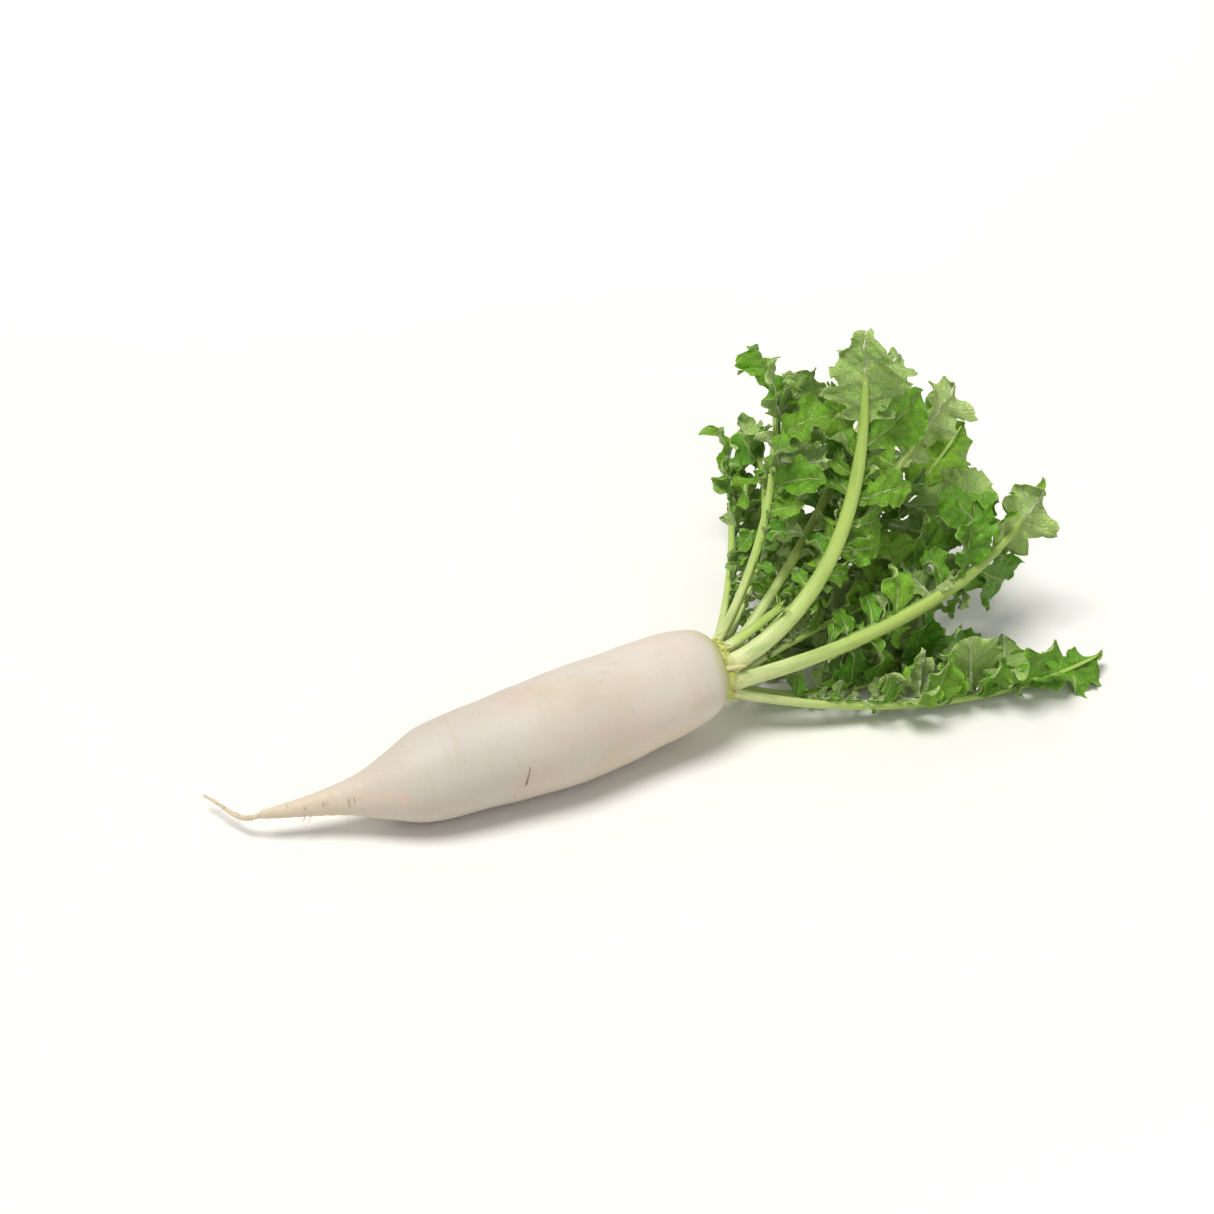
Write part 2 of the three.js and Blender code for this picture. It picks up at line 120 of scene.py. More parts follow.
def lifted(height: np.ndarray, lowest: Union[float, np.ndarray]) -> np.ndarray:
    """Heights that ease onto the ground instead of passing below it."""
    ease = 1.2
    over = height - lowest
    return lowest + (over + np.sqrt(over * over + 4 * ease * ease)) / 2


def curve(a: np.ndarray, b: np.ndarray, c: np.ndarray, d: np.ndarray, t: np.ndarray) -> np.ndarray:
    """Places between b and c on a smooth curve that comes from a and goes on to d."""
    cubic = (3 * b - a - 3 * c + d) * t**3 + (2 * a - 5 * b + 4 * c - d) * t**2
    return 0.5 * (cubic + (c - a) * t + 2 * b)


def flowing(points: Sequence[Sequence[float]], count: int) -> np.ndarray:
    """Evenly numbered places on a smooth curve through the given points.

    Args:
        points: The points that the curve passes through.
        count: How many places are wanted.

    Returns:
        An array of the places, the first and the last point included.
    """
    known = np.asarray(points, float)
    padded = np.vstack([2 * known[0] - known[1], known, 2 * known[-1] - known[-2]])
    share = np.linspace(0, len(known) - 1, count)
    i = np.minimum(share.astype(int), len(known) - 2)
    t = (share - i)[:, None]
    return curve(padded[i], padded[i + 1], padded[i + 2], padded[i + 3], t)


# ---- Work at the bench: pieces drawn out, closed and finished -----------------------------


def clear_selection() -> None:
    """Leaves edit mode and lets go of everything, so that a tool acts on one piece only."""
    if bpy.context.object and bpy.context.object.mode != "OBJECT":
        bpy.ops.object.mode_set(mode="OBJECT")
    bpy.ops.object.select_all(action="DESELECT")


def take_up(piece: bpy.types.Object) -> None:
    """Makes the piece the only one that is selected, and the active one."""
    clear_selection()
    piece.select_set(True)
    bpy.context.view_layer.objects.active = piece


def open_up(piece: bpy.types.Object) -> None:
    """Opens the piece in edit mode, with all of it selected."""
    take_up(piece)
    bpy.ops.object.mode_set(mode="EDIT")
    bpy.ops.mesh.select_all(action="SELECT")


def open_faces(piece: bpy.types.Object) -> None:
    """Opens the piece in edit mode to pick faces, with none of them picked yet."""
    open_up(piece)
    bpy.ops.mesh.select_mode(type="FACE")
    bpy.ops.mesh.select_all(action="DESELECT")


def vertex_places(piece: bpy.types.Object) -> np.ndarray:
    """The piece's vertices in metres, as rows."""
    flat = np.empty(len(piece.data.vertices) * 3)
    piece.data.vertices.foreach_get("co", flat)
    return flat.reshape(-1, 3)


def set_places(piece: bpy.types.Object, places: np.ndarray) -> None:
    """Puts the piece's vertices at the given places, in metres."""
    piece.data.vertices.foreach_set("co", np.asarray(places, float).ravel())
    piece.data.update()


def keep_vectors(piece: bpy.types.Object, name: str, vectors: np.ndarray) -> None:
    """Stores one vector for each vertex under a name that the finishes read."""
    layer = piece.data.attributes.new(name, "FLOAT_VECTOR", "POINT")
    layer.data.foreach_set("vector", np.asarray(vectors, np.float32).ravel())


def placed(name: str, data: bpy.types.ID) -> bpy.types.Object:
    """A new object in the scene, with the given mesh, lamp or camera."""
    made = bpy.data.objects.new(name, data)
    bpy.context.scene.collection.objects.link(made)
    return made


def meshed(name: str, points: np.ndarray, faces: Sequence[Sequence[int]]) -> bpy.types.Object:
    """A new piece in the scene, from points in millimetres and faces."""
    mesh = bpy.data.meshes.new(name)
    mesh.from_pydata((points * MM).tolist(), [], faces)
    return placed(name, mesh)


def finish_modifier(piece: bpy.types.Object, kind: str, **settings: object) -> None:
    """Adds a modifier with its settings and applies it.

    Args:
        piece: The piece to work on.
        kind: The modifier's type.
        settings: The modifier's values, by name.
    """
    take_up(piece)
    modifier = piece.modifiers.new(kind.title(), kind)
    for name, value in settings.items():
        setattr(modifier, name, value)
    bpy.ops.object.modifier_apply(modifier=modifier.name)


def face_outwards(piece: bpy.types.Object) -> None:
    """Turns all faces of a closed piece outwards."""
    open_up(piece)
    bpy.ops.mesh.normals_make_consistent(inside=False)
    bpy.ops.object.mode_set(mode="OBJECT")


def join_pieces(pieces: Sequence[bpy.types.Object], name: str) -> bpy.types.Object:
    """Joins pieces of one material into one.

    Args:
        pieces: The pieces, of which the first stays.
        name: The joined piece's name.

    Returns:
        The joined piece.
    """
    take_up(pieces[0])
    for piece in pieces[1:]:
        piece.select_set(True)
    if len(pieces) > 1:
        bpy.ops.object.join()
    joined = bpy.context.view_layer.objects.active
    joined.name = joined.data.name = name
    return joined


@dataclass(frozen=True)
class Station:
    """Where a ring of a drawn piece stands, in millimetres.

    The columns of turn are the ring's side, its upper face and the way ahead.
    """

    place: np.ndarray
    turn: np.ndarray
    half: float


def draw_out(name: str, section: np.ndarray, stations: Sequence[Station], pointed: bool) -> bpy.types.Object:
    """Draws a closed section out, ring by ring, as by hand.

    A disc is given the section's shape, and its face is then extruded from station to
    station, turned to the new course and scaled to the new width.

    Args:
        name: The piece's name.
        section: The section's points for a half width of 1, as rows of side and height.
        stations: Where the rings stand.
        pointed: Whether the far end runs to a point.

    Returns:
        The closed piece, in metres.
    """
    clear_selection()
    first = stations[0]
    bpy.ops.mesh.primitive_circle_add(
        vertices=len(section), radius=first.half * MM, fill_type="NGON", location=(0, 0, 0)
    )
    piece = bpy.context.object
    piece.name = piece.data.name = name
    spokes = section @ first.turn[:, :2].T
    set_places(piece, (first.place + spokes * first.half) * MM)
    open_up(piece)
    for here, there in zip(stations, stations[1:]):
        middle = Vector(there.place * MM)
        step = (there.place - here.place) * MM
        bpy.ops.mesh.extrude_region_move(TRANSFORM_OT_translate={"value": tuple(step)})
        bend = Matrix(there.turn.tolist()) @ Matrix(here.turn.tolist()).transposed()
        axis, angle = bend.to_quaternion().to_axis_angle()
        if abs(angle) > 1e-6:
            across = axis.orthogonal().normalized()
            columns = Matrix((across, axis.cross(across), axis)).transposed()
            bpy.ops.transform.rotate(
                value=angle, orient_axis="Z", orient_type="GLOBAL", orient_matrix=columns,
                orient_matrix_type="GLOBAL", constraint_axis=(False, False, True), center_override=middle,
            )
        scale = there.half / here.half
        bpy.ops.transform.resize(value=(scale, scale, scale), center_override=middle)
    if pointed:
        bpy.ops.mesh.merge(type="CENTER")
    bpy.ops.object.mode_set(mode="OBJECT")
    face_outwards(piece)
    bpy.ops.object.shade_smooth()
    return piece


def round_section(sides: int) -> np.ndarray:
    """A circle's points for a radius of 1."""
    angle = np.linspace(0, 2 * math.pi, sides, endpoint=False)
    return np.stack([np.cos(angle), np.sin(angle)], axis=1)


def thread_stations(places: np.ndarray, halves: np.ndarray) -> list[Station]:
    """Stations along a thread, each turned as little as possible from the one before.

    Args:
        places: The thread's middle line.
        halves: Its radius at each place.

    Returns:
        The stations.
    """
    ways = unit(np.gradient(places, axis=0))
    up = np.array([0.0, 0.0, 1.0]) if abs(ways[0][2]) < 0.9 else np.array([0.0, 1.0, 0.0])
    stations = []
    for place, way, half in zip(places, ways, halves):
        up = unit(up - way * (up @ way))
        side = np.cross(up, way)
        stations.append(Station(place, np.stack([side, up, way], axis=1), float(half)))
    return stations


def closed_sheet(upper: np.ndarray, lower: np.ndarray) -> tuple[np.ndarray, list[list[int]], int]:
    """Closes two grids of points, one above the other, into a thin solid.

    Args:
        upper: The upper points, as rows and columns of places.
        lower: The lower points, in the same layout.

    Returns:
        The points, the faces, and how many of the faces, the first ones, are upper ones.
    """
    rows, columns = upper.shape[:2]
    count = rows * columns
    index = np.arange(count).reshape(rows, columns)
    a, b = index[:-1, :-1].ravel(), index[:-1, 1:].ravel()
    c, d = index[1:, 1:].ravel(), index[1:, :-1].ravel()
    top = np.stack([a, b, c, d], axis=1)
    under = np.stack([a, d, c, b], axis=1) + count
    loop = np.concatenate([index[0, :-1], index[:-1, -1], index[-1, :0:-1], index[:0:-1, 0]])
    ahead = np.roll(loop, -1)
    rim = np.stack([loop, loop + count, ahead + count, ahead], axis=1)
    points = np.concatenate([upper.reshape(-1, 3), lower.reshape(-1, 3)])
    return points, np.concatenate([top, under, rim]).tolist(), len(top)


# ---- Finishes -----------------------------------------------------------------------------


class Number:
    """A number or colour that flows through a finish's nodes."""

    def __init__(self, graph: "Graph", socket: bpy.types.NodeSocket) -> None:
        """Keeps the socket that gives the number."""
        self.graph = graph
        self.socket = socket

    def __add__(self, other: "Given") -> "Number":
        """The sum."""
        return self.graph.math("ADD", self, other)

    def __sub__(self, other: "Given") -> "Number":
        """The difference."""
        return self.graph.math("SUBTRACT", self, other)

    def __mul__(self, other: "Given") -> "Number":
        """The product."""
        return self.graph.math("MULTIPLY", self, other)

    def __truediv__(self, other: "Given") -> "Number":
        """The quotient."""
        return self.graph.math("DIVIDE", self, other)

    def __pow__(self, other: "Given") -> "Number":
        """The power."""
        return self.graph.math("POWER", self, other)

    def size(self) -> "Number":
        """The number without its sign."""
        return self.graph.math("ABSOLUTE", self)

    def part(self) -> "Number":
        """What follows the decimal point."""
        return self.graph.math("FRACT", self)

    def larger(self, other: "Given") -> "Number":
        """The larger of the two."""
        return self.graph.math("MAXIMUM", self, other)

    def step(self, low: float, high: float) -> "Number":
        """A soft step that is 0 at low and 1 at high, whichever of them is the larger."""
        return self.graph.soft_step(self, low, high)


Given = Union[Number, float]
Colour = Triple


def hex_colour(code: str) -> Colour:
    """The scene's linear colour for a screen colour such as 'efe8dc'."""
    parts = [int(code[i : i + 2], 16) / 255 for i in (0, 2, 4)]
    return tuple(c / 12.92 if c <= 0.04045 else ((c + 0.055) / 1.055) ** 2.4 for c in parts)


class Graph:
    """A material's nodes, laid out by plain calls."""

    def __init__(self, name: str) -> None:
        """Starts a material with one Principled shader."""
        self.material = bpy.data.materials.new(name)
        self.material.use_nodes = True
        self.tree = self.material.node_tree
        self.shader = self.tree.nodes["Principled BSDF"]
        self.output = self.tree.nodes["Material Output"]

    def node(self, kind: str, **settings: object) -> bpy.types.Node:
        """Adds a node.

        Args:
            kind: The node's type, without its prefix.
            settings: The node's own values, by name.

        Returns:
            The node.
        """
        made = self.tree.nodes.new("ShaderNode" + kind)
        for name, value in settings.items():
            setattr(made, name, value)
        return made

    def feed(self, socket: bpy.types.NodeSocket, value: object) -> None:
        """Sets a socket to a plain value, or links a Number to it."""
        if isinstance(value, Number):
            self.tree.links.new(value.socket, socket)
        elif isinstance(value, bpy.types.NodeSocket):
            self.tree.links.new(value, socket)
        elif isinstance(value, tuple) and len(value) == 3 and socket.type == "RGBA":
            socket.default_value = (*value, 1.0)
        else:
            socket.default_value = value

    def math(self, operation: str, *values: Given) -> Number:
        """One arithmetic step."""
        made = self.node("Math", operation=operation)
        for socket, value in zip(made.inputs, values):
            self.feed(socket, value)
        return Number(self, made.outputs[0])

    def soft_step(self, value: Number, low: float, high: float) -> Number:
        """A soft step between two values of a number, from 0 to 1.

        Args:
            value: The number.
            low: Where the step is 0.
            high: Where the step is 1.

        Returns:
            The step.
        """
        made = self.node("MapRange", interpolation_type="SMOOTHSTEP", clamp=True)
        falling = high < low
        self.feed(made.inputs["Value"], value)
        made.inputs["From Min"].default_value = min(low, high)
        made.inputs["From Max"].default_value = max(low, high)
        made.inputs["To Min"].default_value = 1.0 if falling else 0.0
        made.inputs["To Max"].default_value = 0.0 if falling else 1.0
        return Number(self, made.outputs["Result"])

    def colour(self, colour: Colour) -> Number:
        """A plain colour, to be mixed with others."""
        made = self.node("RGB")
        made.outputs[0].default_value = (*colour, 1.0)
        return Number(self, made.outputs[0])

    def blend(self, share: Given, low: Union[Number, Colour], high: Union[Number, Colour]) -> Number:
        """The colour at a share of the way between two.

        Args:
            share: 0 for the first colour and 1 for the second.
            low: The first colour.
            high: The second colour.

        Returns:
            The mixed colour.
        """
        made = self.node("Mix", data_type="RGBA")
        self.feed(made.inputs[0], share)
        self.feed(made.inputs[6], low)
        self.feed(made.inputs[7], high)
        return Number(self, made.outputs[2])

    def dimmed(self, colour: Number, share: Given) -> Number:
        """A colour times a share."""
        made = self.node("VectorMath", operation="SCALE")
        self.feed(made.inputs[0], colour)
        self.feed(made.inputs["Scale"], share)
        return Number(self, made.outputs["Vector"])

    def places(self, scale: Triple, shift: Triple = (0, 0, 0)) -> Number:
        """The object's own coordinates in metres, scaled and moved.

        Args:
            scale: How much of the pattern there is to a metre, along each axis.
            shift: How far the pattern is moved.

        Returns:
            The coordinates.
        """
        source = self.node("TexCoord").outputs["Object"]
        return self.mapped(source, scale, shift)

    def mapped(self, source: object, scale: Triple, shift: Triple = (0, 0, 0)) -> Number:
        """Coordinates scaled and moved by a Mapping node."""
        made = self.node("Mapping")
        self.feed(made.inputs["Vector"], source)
        made.inputs["Scale"].default_value = scale
        made.inputs["Location"].default_value = shift
        return Number(self, made.outputs[0])

    def stored(self, name: str) -> Number:
        """The vectors that the piece keeps under a name."""
        return Number(self, self.node("Attribute", attribute_name=name).outputs["Vector"])

    def parts(self, vector: Number) -> tuple[Number, Number, Number]:
        """A vector's three numbers."""
        made = self.node("SeparateXYZ")
        self.feed(made.inputs[0], vector)
        return tuple(Number(self, socket) for socket in made.outputs)

    def noise(
        self, places: Number, scale: float, detail: float = 3.0, rough: float = 0.55, warp: float = 0.0
    ) -> Number:
        """Cloudy noise from 0 to 1 over the given coordinates."""
        made = self.node("TexNoise")
        self.feed(made.inputs["Vector"], places)
        made.inputs["Scale"].default_value = scale
        made.inputs["Detail"].default_value = detail
        made.inputs["Roughness"].default_value = rough
        made.inputs["Distortion"].default_value = warp
        return Number(self, made.outputs[0])

    def cells(self, places: Number, scale: float, feature: str = "F1") -> tuple[Number, Number]:
        """Cells over the given coordinates.

        Args:
            places: The coordinates.
            scale: How many cells there are to a unit.
            feature: What is measured, such as F1 or DISTANCE_TO_EDGE.

        Returns:
            The distance, and a number that is the cell's own.
        """
        made = self.node("TexVoronoi", feature=feature)
        self.feed(made.inputs["Vector"], places)
        made.inputs["Scale"].default_value = scale
        own = made.outputs["Color"] if feature != "DISTANCE_TO_EDGE" else made.outputs[0]
        return Number(self, made.outputs["Distance"]), self.parts(Number(self, own))[0]

    def relief(self, height: Number, depth: float) -> None:
        """Gives the surface a relief.

        Args:
            height: The height, as a share of the depth.
            depth: How deep a height of 1 is, in metres.
        """
        made = self.node("Bump")
        made.inputs["Strength"].default_value = 1.0
        made.inputs["Distance"].default_value = depth
        self.feed(made.inputs["Height"], height)
        self.tree.links.new(made.outputs[0], self.shader.inputs["Normal"])

    def set(self, name: str, value: object) -> None:
        """Sets or feeds one of the shader's inputs."""
        self.feed(self.shader.inputs[name], value)


class Mark(Enum):
    """The kinds of mark on the root's skin."""

    CRACK = "crack"
    PORE = "pore"
    SMUDGE = "smudge"
    FLUSH = "flush"


@dataclass(frozen=True)
class SkinMark:
    """A mark on the skin: its kind, its middle and its half sizes along x and round the root."""

    kind: Mark
    place: Triple
    half: tuple[float, float]


SKIN_MARKS = (
    SkinMark(Mark.CRACK, (13.1, -29.3, 35.6), (0.22, 2.4)),
    SkinMark(Mark.CRACK, (12.5, -29.6, 33.2), (0.28, 2.4)),
    SkinMark(Mark.CRACK, (11.9, -29.7, 31.0), (0.38, 2.3)),
    SkinMark(Mark.CRACK, (11.3, -29.7, 28.9), (0.55, 2.2)),
    SkinMark(Mark.CRACK, (10.8, -29.5, 27.0), (0.80, 1.8)),
    SkinMark(Mark.PORE, (10.3, -29.2, 25.6), (1.0, 1.0)),
    SkinMark(Mark.PORE, (4.8, -26.9, 18.2), (0.6, 2.4)),
    SkinMark(Mark.SMUDGE, (50.0, 4.9, 62.1), (4.2, 2.6)),
    SkinMark(Mark.SMUDGE, (67.4, 1.7, 61.3), (4.4, 2.2)),
    SkinMark(Mark.SMUDGE, (75.0, 7.9, 61.8), (5.0, 2.4)),
    SkinMark(Mark.SMUDGE, (101.3, 5.9, 62.0), (3.2, 2.2)),
    SkinMark(Mark.SMUDGE, (63.6, 15.3, 60.0), (5.5, 2.4)),
    SkinMark(Mark.PORE, (-79.4, -6.5, 24.5), (0.7, 3.6)),
    SkinMark(Mark.PORE, (-76.6, -7.5, 26.2), (0.5, 2.2)),
    SkinMark(Mark.PORE, (-91.6, -0.5, 22.7), (1.0, 2.2)),
    SkinMark(Mark.PORE, (-100.8, 3.0, 20.1), (0.6, 1.4)),
    SkinMark(Mark.FLUSH, (-69.2, -10.9, 29.3), (5.5, 3.0)),
    SkinMark(Mark.FLUSH, (-61.9, -15.6, 30.1), (7.0, 3.4)),
    SkinMark(Mark.FLUSH, (-54.4, -20.1, 29.8), (5.0, 4.0)),
)


@dataclass(frozen=True)
class SkinFinish:
    """The root's skin: creamy white and satin, with faint bands, pores, flushes and soil marks, greyer and
    darker over the tail half, partly as a painted shade.
    """

    cream: Colour = hex_colour("d9d0c4")
    warm: Colour = hex_colour("d4c4ac")
    rosy: Colour = hex_colour("dbc5b6")
    neck: Colour = hex_colour("b4bf58")
    neck_brown: Colour = hex_colour("8f7c3c")
    tail: Colour = hex_colour("d8c8ab")
    soil: Colour = hex_colour("a98a5e")
    dark: Colour = hex_colour("6e4e2a")
    smudge: Colour = hex_colour("b6b097")
    flush: Colour = hex_colour("e9b99e")
    crown_x: float = 0.138
    tail_x: float = -0.060
    brightness: float = 0.95
    # How much the tail half is darkened, partly a greyer tone and partly painted shade, and where that starts
    # and ends.
    grey_and_shade: float = 0.12
    paling: float = 0.12
    grey_and_shade_from: float = 0.10
    grey_and_shade_to: float = -0.03

    def marks(self, graph: Graph, kind: Mark) -> Number:
        """How strongly the marks of one kind show at a point.

        Args:
            graph: The material's nodes.
            kind: The kind of mark.

        Returns:
            A share from 0 to 1.
        """
        total: Optional[Number] = None
        ragged = graph.noise(graph.places((1, 1, 1)), 700.0, 2.0)
        unevenness = 0.5 if kind is Mark.CRACK else 0.9
        for mark in (m for m in SKIN_MARKS if m.kind is kind):
            across, round_it = (1 / (half * MM) for half in mark.half)
            scale = (across, round_it, round_it)
            shift = tuple(-at * MM * s for at, s in zip(mark.place, scale))
            made = graph.node("VectorMath", operation="LENGTH")
            graph.feed(made.inputs[0], graph.places(scale, shift))
            reach = Number(graph, made.outputs["Value"]) + (ragged - 0.5) * unevenness
            shown = reach.step(1.15, 0.35)
            total = shown if total is None else total.larger(shown)
        assert total is not None
        return total

    def material(self) -> bpy.types.Material:
        """Makes the material."""
        graph = Graph("radish_skin")
        x = graph.parts(graph.places((1, 1, 1)))[0]
        clouds = graph.noise(graph.places((14, 22, 22)), 1.0, 4.0, 0.6, 0.4)
        bands = graph.noise(graph.places((260, 26, 26)), 1.0, 3.0, 0.6)
        rings = graph.noise(graph.places((700, 40, 40)), 1.0, 2.0, 0.5)
        colour = graph.blend(clouds.step(0.42, 0.68) * 0.75, self.cream, self.warm)
        rosy = graph.noise(graph.places((22, 30, 30), (3.1, 1.7, 0.4)), 1.0, 3.0)
        colour = graph.blend(rosy.step(0.5, 0.75) * 0.55, colour, self.rosy)
        colour = graph.blend(bands.step(0.50, 0.78) * 0.34, colour, self.warm)
        tail = x.step(self.tail_x + 0.02, self.tail_x - 0.055)
        colour = graph.blend(tail * 0.75, colour, self.tail)
        # Darker over the tail half, partly a greyer tone and partly painted shade; the tail itself is paled
        # again.
        grey_and_shade_share = x.step(self.grey_and_shade_from, self.grey_and_shade_to)
        colour = graph.dimmed(colour, tail * self.paling + (grey_and_shade_share * -self.grey_and_shade + self.brightness))
        freckles, own = graph.cells(graph.places((260, 120, 120)), 1.0)
        fleck = freckles.step(0.20, 0.08) * own.step(0.66, 0.72)
        colour = graph.blend(fleck * (tail * 0.45 + 0.16), colour, self.soil)
        grime = graph.noise(graph.places((60, 44, 44), (0.3, 5.0, 2.0)), 1.0, 5.0, 0.7)
        colour = graph.blend(grime.step(0.60, 0.80) * (tail * 0.30 + 0.10), colour, self.soil)
        flush, smudge = self.marks(graph, Mark.FLUSH), self.marks(graph, Mark.SMUDGE)
        crack, pore = self.marks(graph, Mark.CRACK), self.marks(graph, Mark.PORE)
        mottled = graph.noise(graph.places((420, 420, 420)), 1.0, 3.0)
        colour = graph.blend(flush * mottled.step(0.30, 0.70) * 0.55, colour, self.flush)
        colour = graph.blend(smudge * mottled.step(0.35, 0.65) * 0.55, colour, self.smudge)
        colour = graph.blend(pore * 0.62, colour, self.soil)
        colour = graph.blend(crack * 0.8, colour, self.dark)
        shoulder = (x + (clouds - 0.5) * 0.02).step(self.crown_x - 0.010, self.crown_x)
        colour = graph.blend(shoulder * 0.50, colour, self.neck)
        neck = x.step(self.crown_x - 0.0012, self.crown_x + 0.0012)
        streaks = graph.noise(graph.places((90, 420, 420)), 1.0, 3.0, 0.6, 0.6)
        neck_colour = graph.blend(streaks.step(0.46, 0.66), self.neck, self.neck_brown)
        colour = graph.blend(neck, colour, neck_colour)
        graph.set("Base Color", colour)
        grain = graph.noise(graph.places((900, 900, 900)), 1.0, 2.0)
        graph.set("Roughness", grain * 0.16 + (bands * 0.14 + 0.38))
        graph.set("Specular IOR Level", 0.45)
        graph.set("Subsurface Weight", 0.12)
        graph.set("Subsurface Radius", (1.0, 0.75, 0.5))
        graph.set("Subsurface Scale", 0.004)
        wrinkle = rings * (tail * 0.5 + 0.20) + grain * 0.14 + bands * 0.22
        height = wrinkle - crack * 0.5 - pore * 0.35 - fleck * 0.1 - streaks * neck * 0.8
        graph.relief(height, 0.0006)
        return graph.material


@dataclass(frozen=True)
class StalkFinish:
    """A leaf stalk: juicy yellow-green with fine lines along it, paler at its foot."""

    name: str = "leaf_stalk"
    foot: Colour = hex_colour("d2da9c")
    middle: Colour = hex_colour("b3cb68")
    far: Colour = hex_colour("a0be55")
    edge: Colour = hex_colour("8cae4c")
    pale: Colour = hex_colour("dbe4ad")
    scar: Colour = hex_colour("a08a4a")

    def material(self) -> bpy.types.Material:
        """Makes the material, which reads the straightened stalk from the stored grain."""
        graph = Graph(self.name)
        grain = graph.stored("grain")
        x, _, upward = graph.parts(grain)
        share = graph.parts(graph.stored("growth"))[0]
        lines = graph.noise(graph.mapped(grain, (0.010, 1.7, 1.7)), 1.0, 3.0, 0.6)
        fine = graph.noise(graph.mapped(grain, (0.03, 4.2, 4.2)), 1.0, 2.0, 0.5)
        clouds = graph.noise(graph.mapped(grain, (0.05, 0.16, 0.16)), 1.0, 3.0)
        colour = graph.blend(share.step(0.0, 0.34), self.foot, self.middle)
        colour = graph.blend(share.step(0.35, 1.0), colour, self.far)
        colour = graph.blend(clouds.step(0.42, 0.70) * 0.45, colour, self.edge)
        colour = graph.blend(lines.step(0.45, 0.75) * 0.34, colour, self.edge)
        colour = graph.blend(fine.step(0.55, 0.80) * 0.28, colour, self.pale)
        shaded = (upward + (lines - 0.5)).step(0.2, 1.1)
        colour = graph.blend(shaded * 0.25, colour, self.edge)
        specks, own = graph.cells(graph.mapped(grain, (0.22, 0.6, 0.6)), 1.0)
        speck = specks.step(0.16, 0.06) * own.step(0.78, 0.82)
        colour = graph.blend(speck * 0.5, colour, self.scar)
        foot = (x + (lines - 0.5) * 3.0).step(3.2, 0.4)
        colour = graph.blend(foot * 0.32, colour, self.scar)
        graph.set("Base Color", colour)
        graph.set("Roughness", fine * 0.14 + 0.32)
        graph.set("Specular IOR Level", 0.5)
        graph.set("Subsurface Weight", 0.15)
        graph.set("Subsurface Radius", (0.6, 1.0, 0.3))
        graph.set("Subsurface Scale", 0.002)
        graph.relief(lines * 0.7 + fine * 0.3 - speck * 0.2, 0.0003)
        return graph.material


class Face(Enum):
    """The two faces of a blade."""

    UPPER = "upper"
    LOWER = "lower"


@dataclass(frozen=True)
class BladeFinish:
    """A blade's face: green with a net of paler veins, duller and paler underneath."""

    face: Face
    deep: Colour
    mid: Colour
    light: Colour
    vein: Colour
    vein_share: float
    relief: float
    shine: float
    glow: float

    def veins(self, graph: Graph) -> tuple[Number, Number]:
        """The midrib with its side veins, and the net between them.

        Args:
            graph: The material's nodes.

        Returns:
            How strongly each shows at a point, from 0 to 1.
        """
        phase, across, pitch = graph.parts(graph.stored("vein"))
        growth, _, _ = graph.parts(graph.stored("growth"))
        cloth = graph.stored("cloth")
        _, sideways, _ = graph.parts(cloth)
        waver = graph.noise(graph.mapped(cloth, (0.16, 0.16, 1.0)), 1.0, 2.0) - 0.5
        rib = sideways.size() / ((pitch * 0.06 + 0.34) * (growth * -0.70 + 1.0))
        side = ((phase + waver * 0.16).part() - 0.5).size() * pitch / (across.size() * -0.30 + 0.62)
        small = ((phase * 2.0 + waver * 0.5).part() - 0.5).size() * pitch * 0.5
        branches = small.step(0.30, 0.10) * 0.45
        main = rib.step(1.0, 0.35).larger(side.step(1.0, 0.25) * 0.8).larger(branches * 0.7)
        edge, _ = graph.cells(graph.mapped(cloth, (0.55, 0.55, 1.0)), 1.0, "DISTANCE_TO_EDGE")
        return main, edge.step(0.12, 0.02)

    def material(self) -> bpy.types.Material:
        """Makes the material, which reads the flattened blade from the stored vectors."""
        graph = Graph("leaf_" + self.face.value)
        main, net = self.veins(graph)
        cloth = graph.stored("cloth")
        _, age, rim = graph.parts(graph.stored("growth"))
        clouds = graph.noise(graph.mapped(cloth, (0.09, 0.09, 1.0)), 1.0, 4.0, 0.6, 0.3)
        fine = graph.noise(graph.mapped(cloth, (1.4, 1.4, 1.0)), 1.0, 3.0)
        crinkle_and_highlight = graph.noise(graph.mapped(cloth, (0.26, 0.26, 1.0)), 1.0, 3.0, 0.6, 0.3)
        colour = graph.blend(clouds.step(0.34, 0.66), self.deep, self.mid)
        colour = graph.blend(age * 0.55, colour, self.light)
        colour = graph.blend(fine.step(0.45, 0.80) * 0.30, colour, self.light)
        # Painted highlight: lighter where the crinkle's bulges stand up.
        colour = graph.blend(crinkle_and_highlight.step(0.48, 0.72) * 0.28, colour, self.light)
        colour = graph.blend(net * 0.22, colour, self.light)
        colour = graph.blend(main * self.vein_share, colour, self.vein)
        colour = graph.blend(rim.step(0.93, 1.0) * 0.45, colour, self.light)
        graph.set("Base Color", colour)
        graph.set("Roughness", fine * 0.18 + self.shine)
        graph.set("Specular IOR Level", 0.45)
        sign = -1.0 if self.face is Face.UPPER else 1.0
        graph.relief(main * (0.8 * sign) + net * (0.25 * sign) + fine * 0.25 + crinkle_and_highlight * 1.1, self.relief)
        through = graph.node("BsdfTranslucent")
        graph.feed(through.inputs["Color"], colour)
        both = graph.node("MixShader")
        both.inputs[0].default_value = self.glow
        graph.tree.links.new(graph.shader.outputs[0], both.inputs[1])
        graph.tree.links.new(through.outputs[0], both.inputs[2])
        graph.tree.links.new(both.outputs[0], graph.output.inputs["Surface"])
        return graph.material


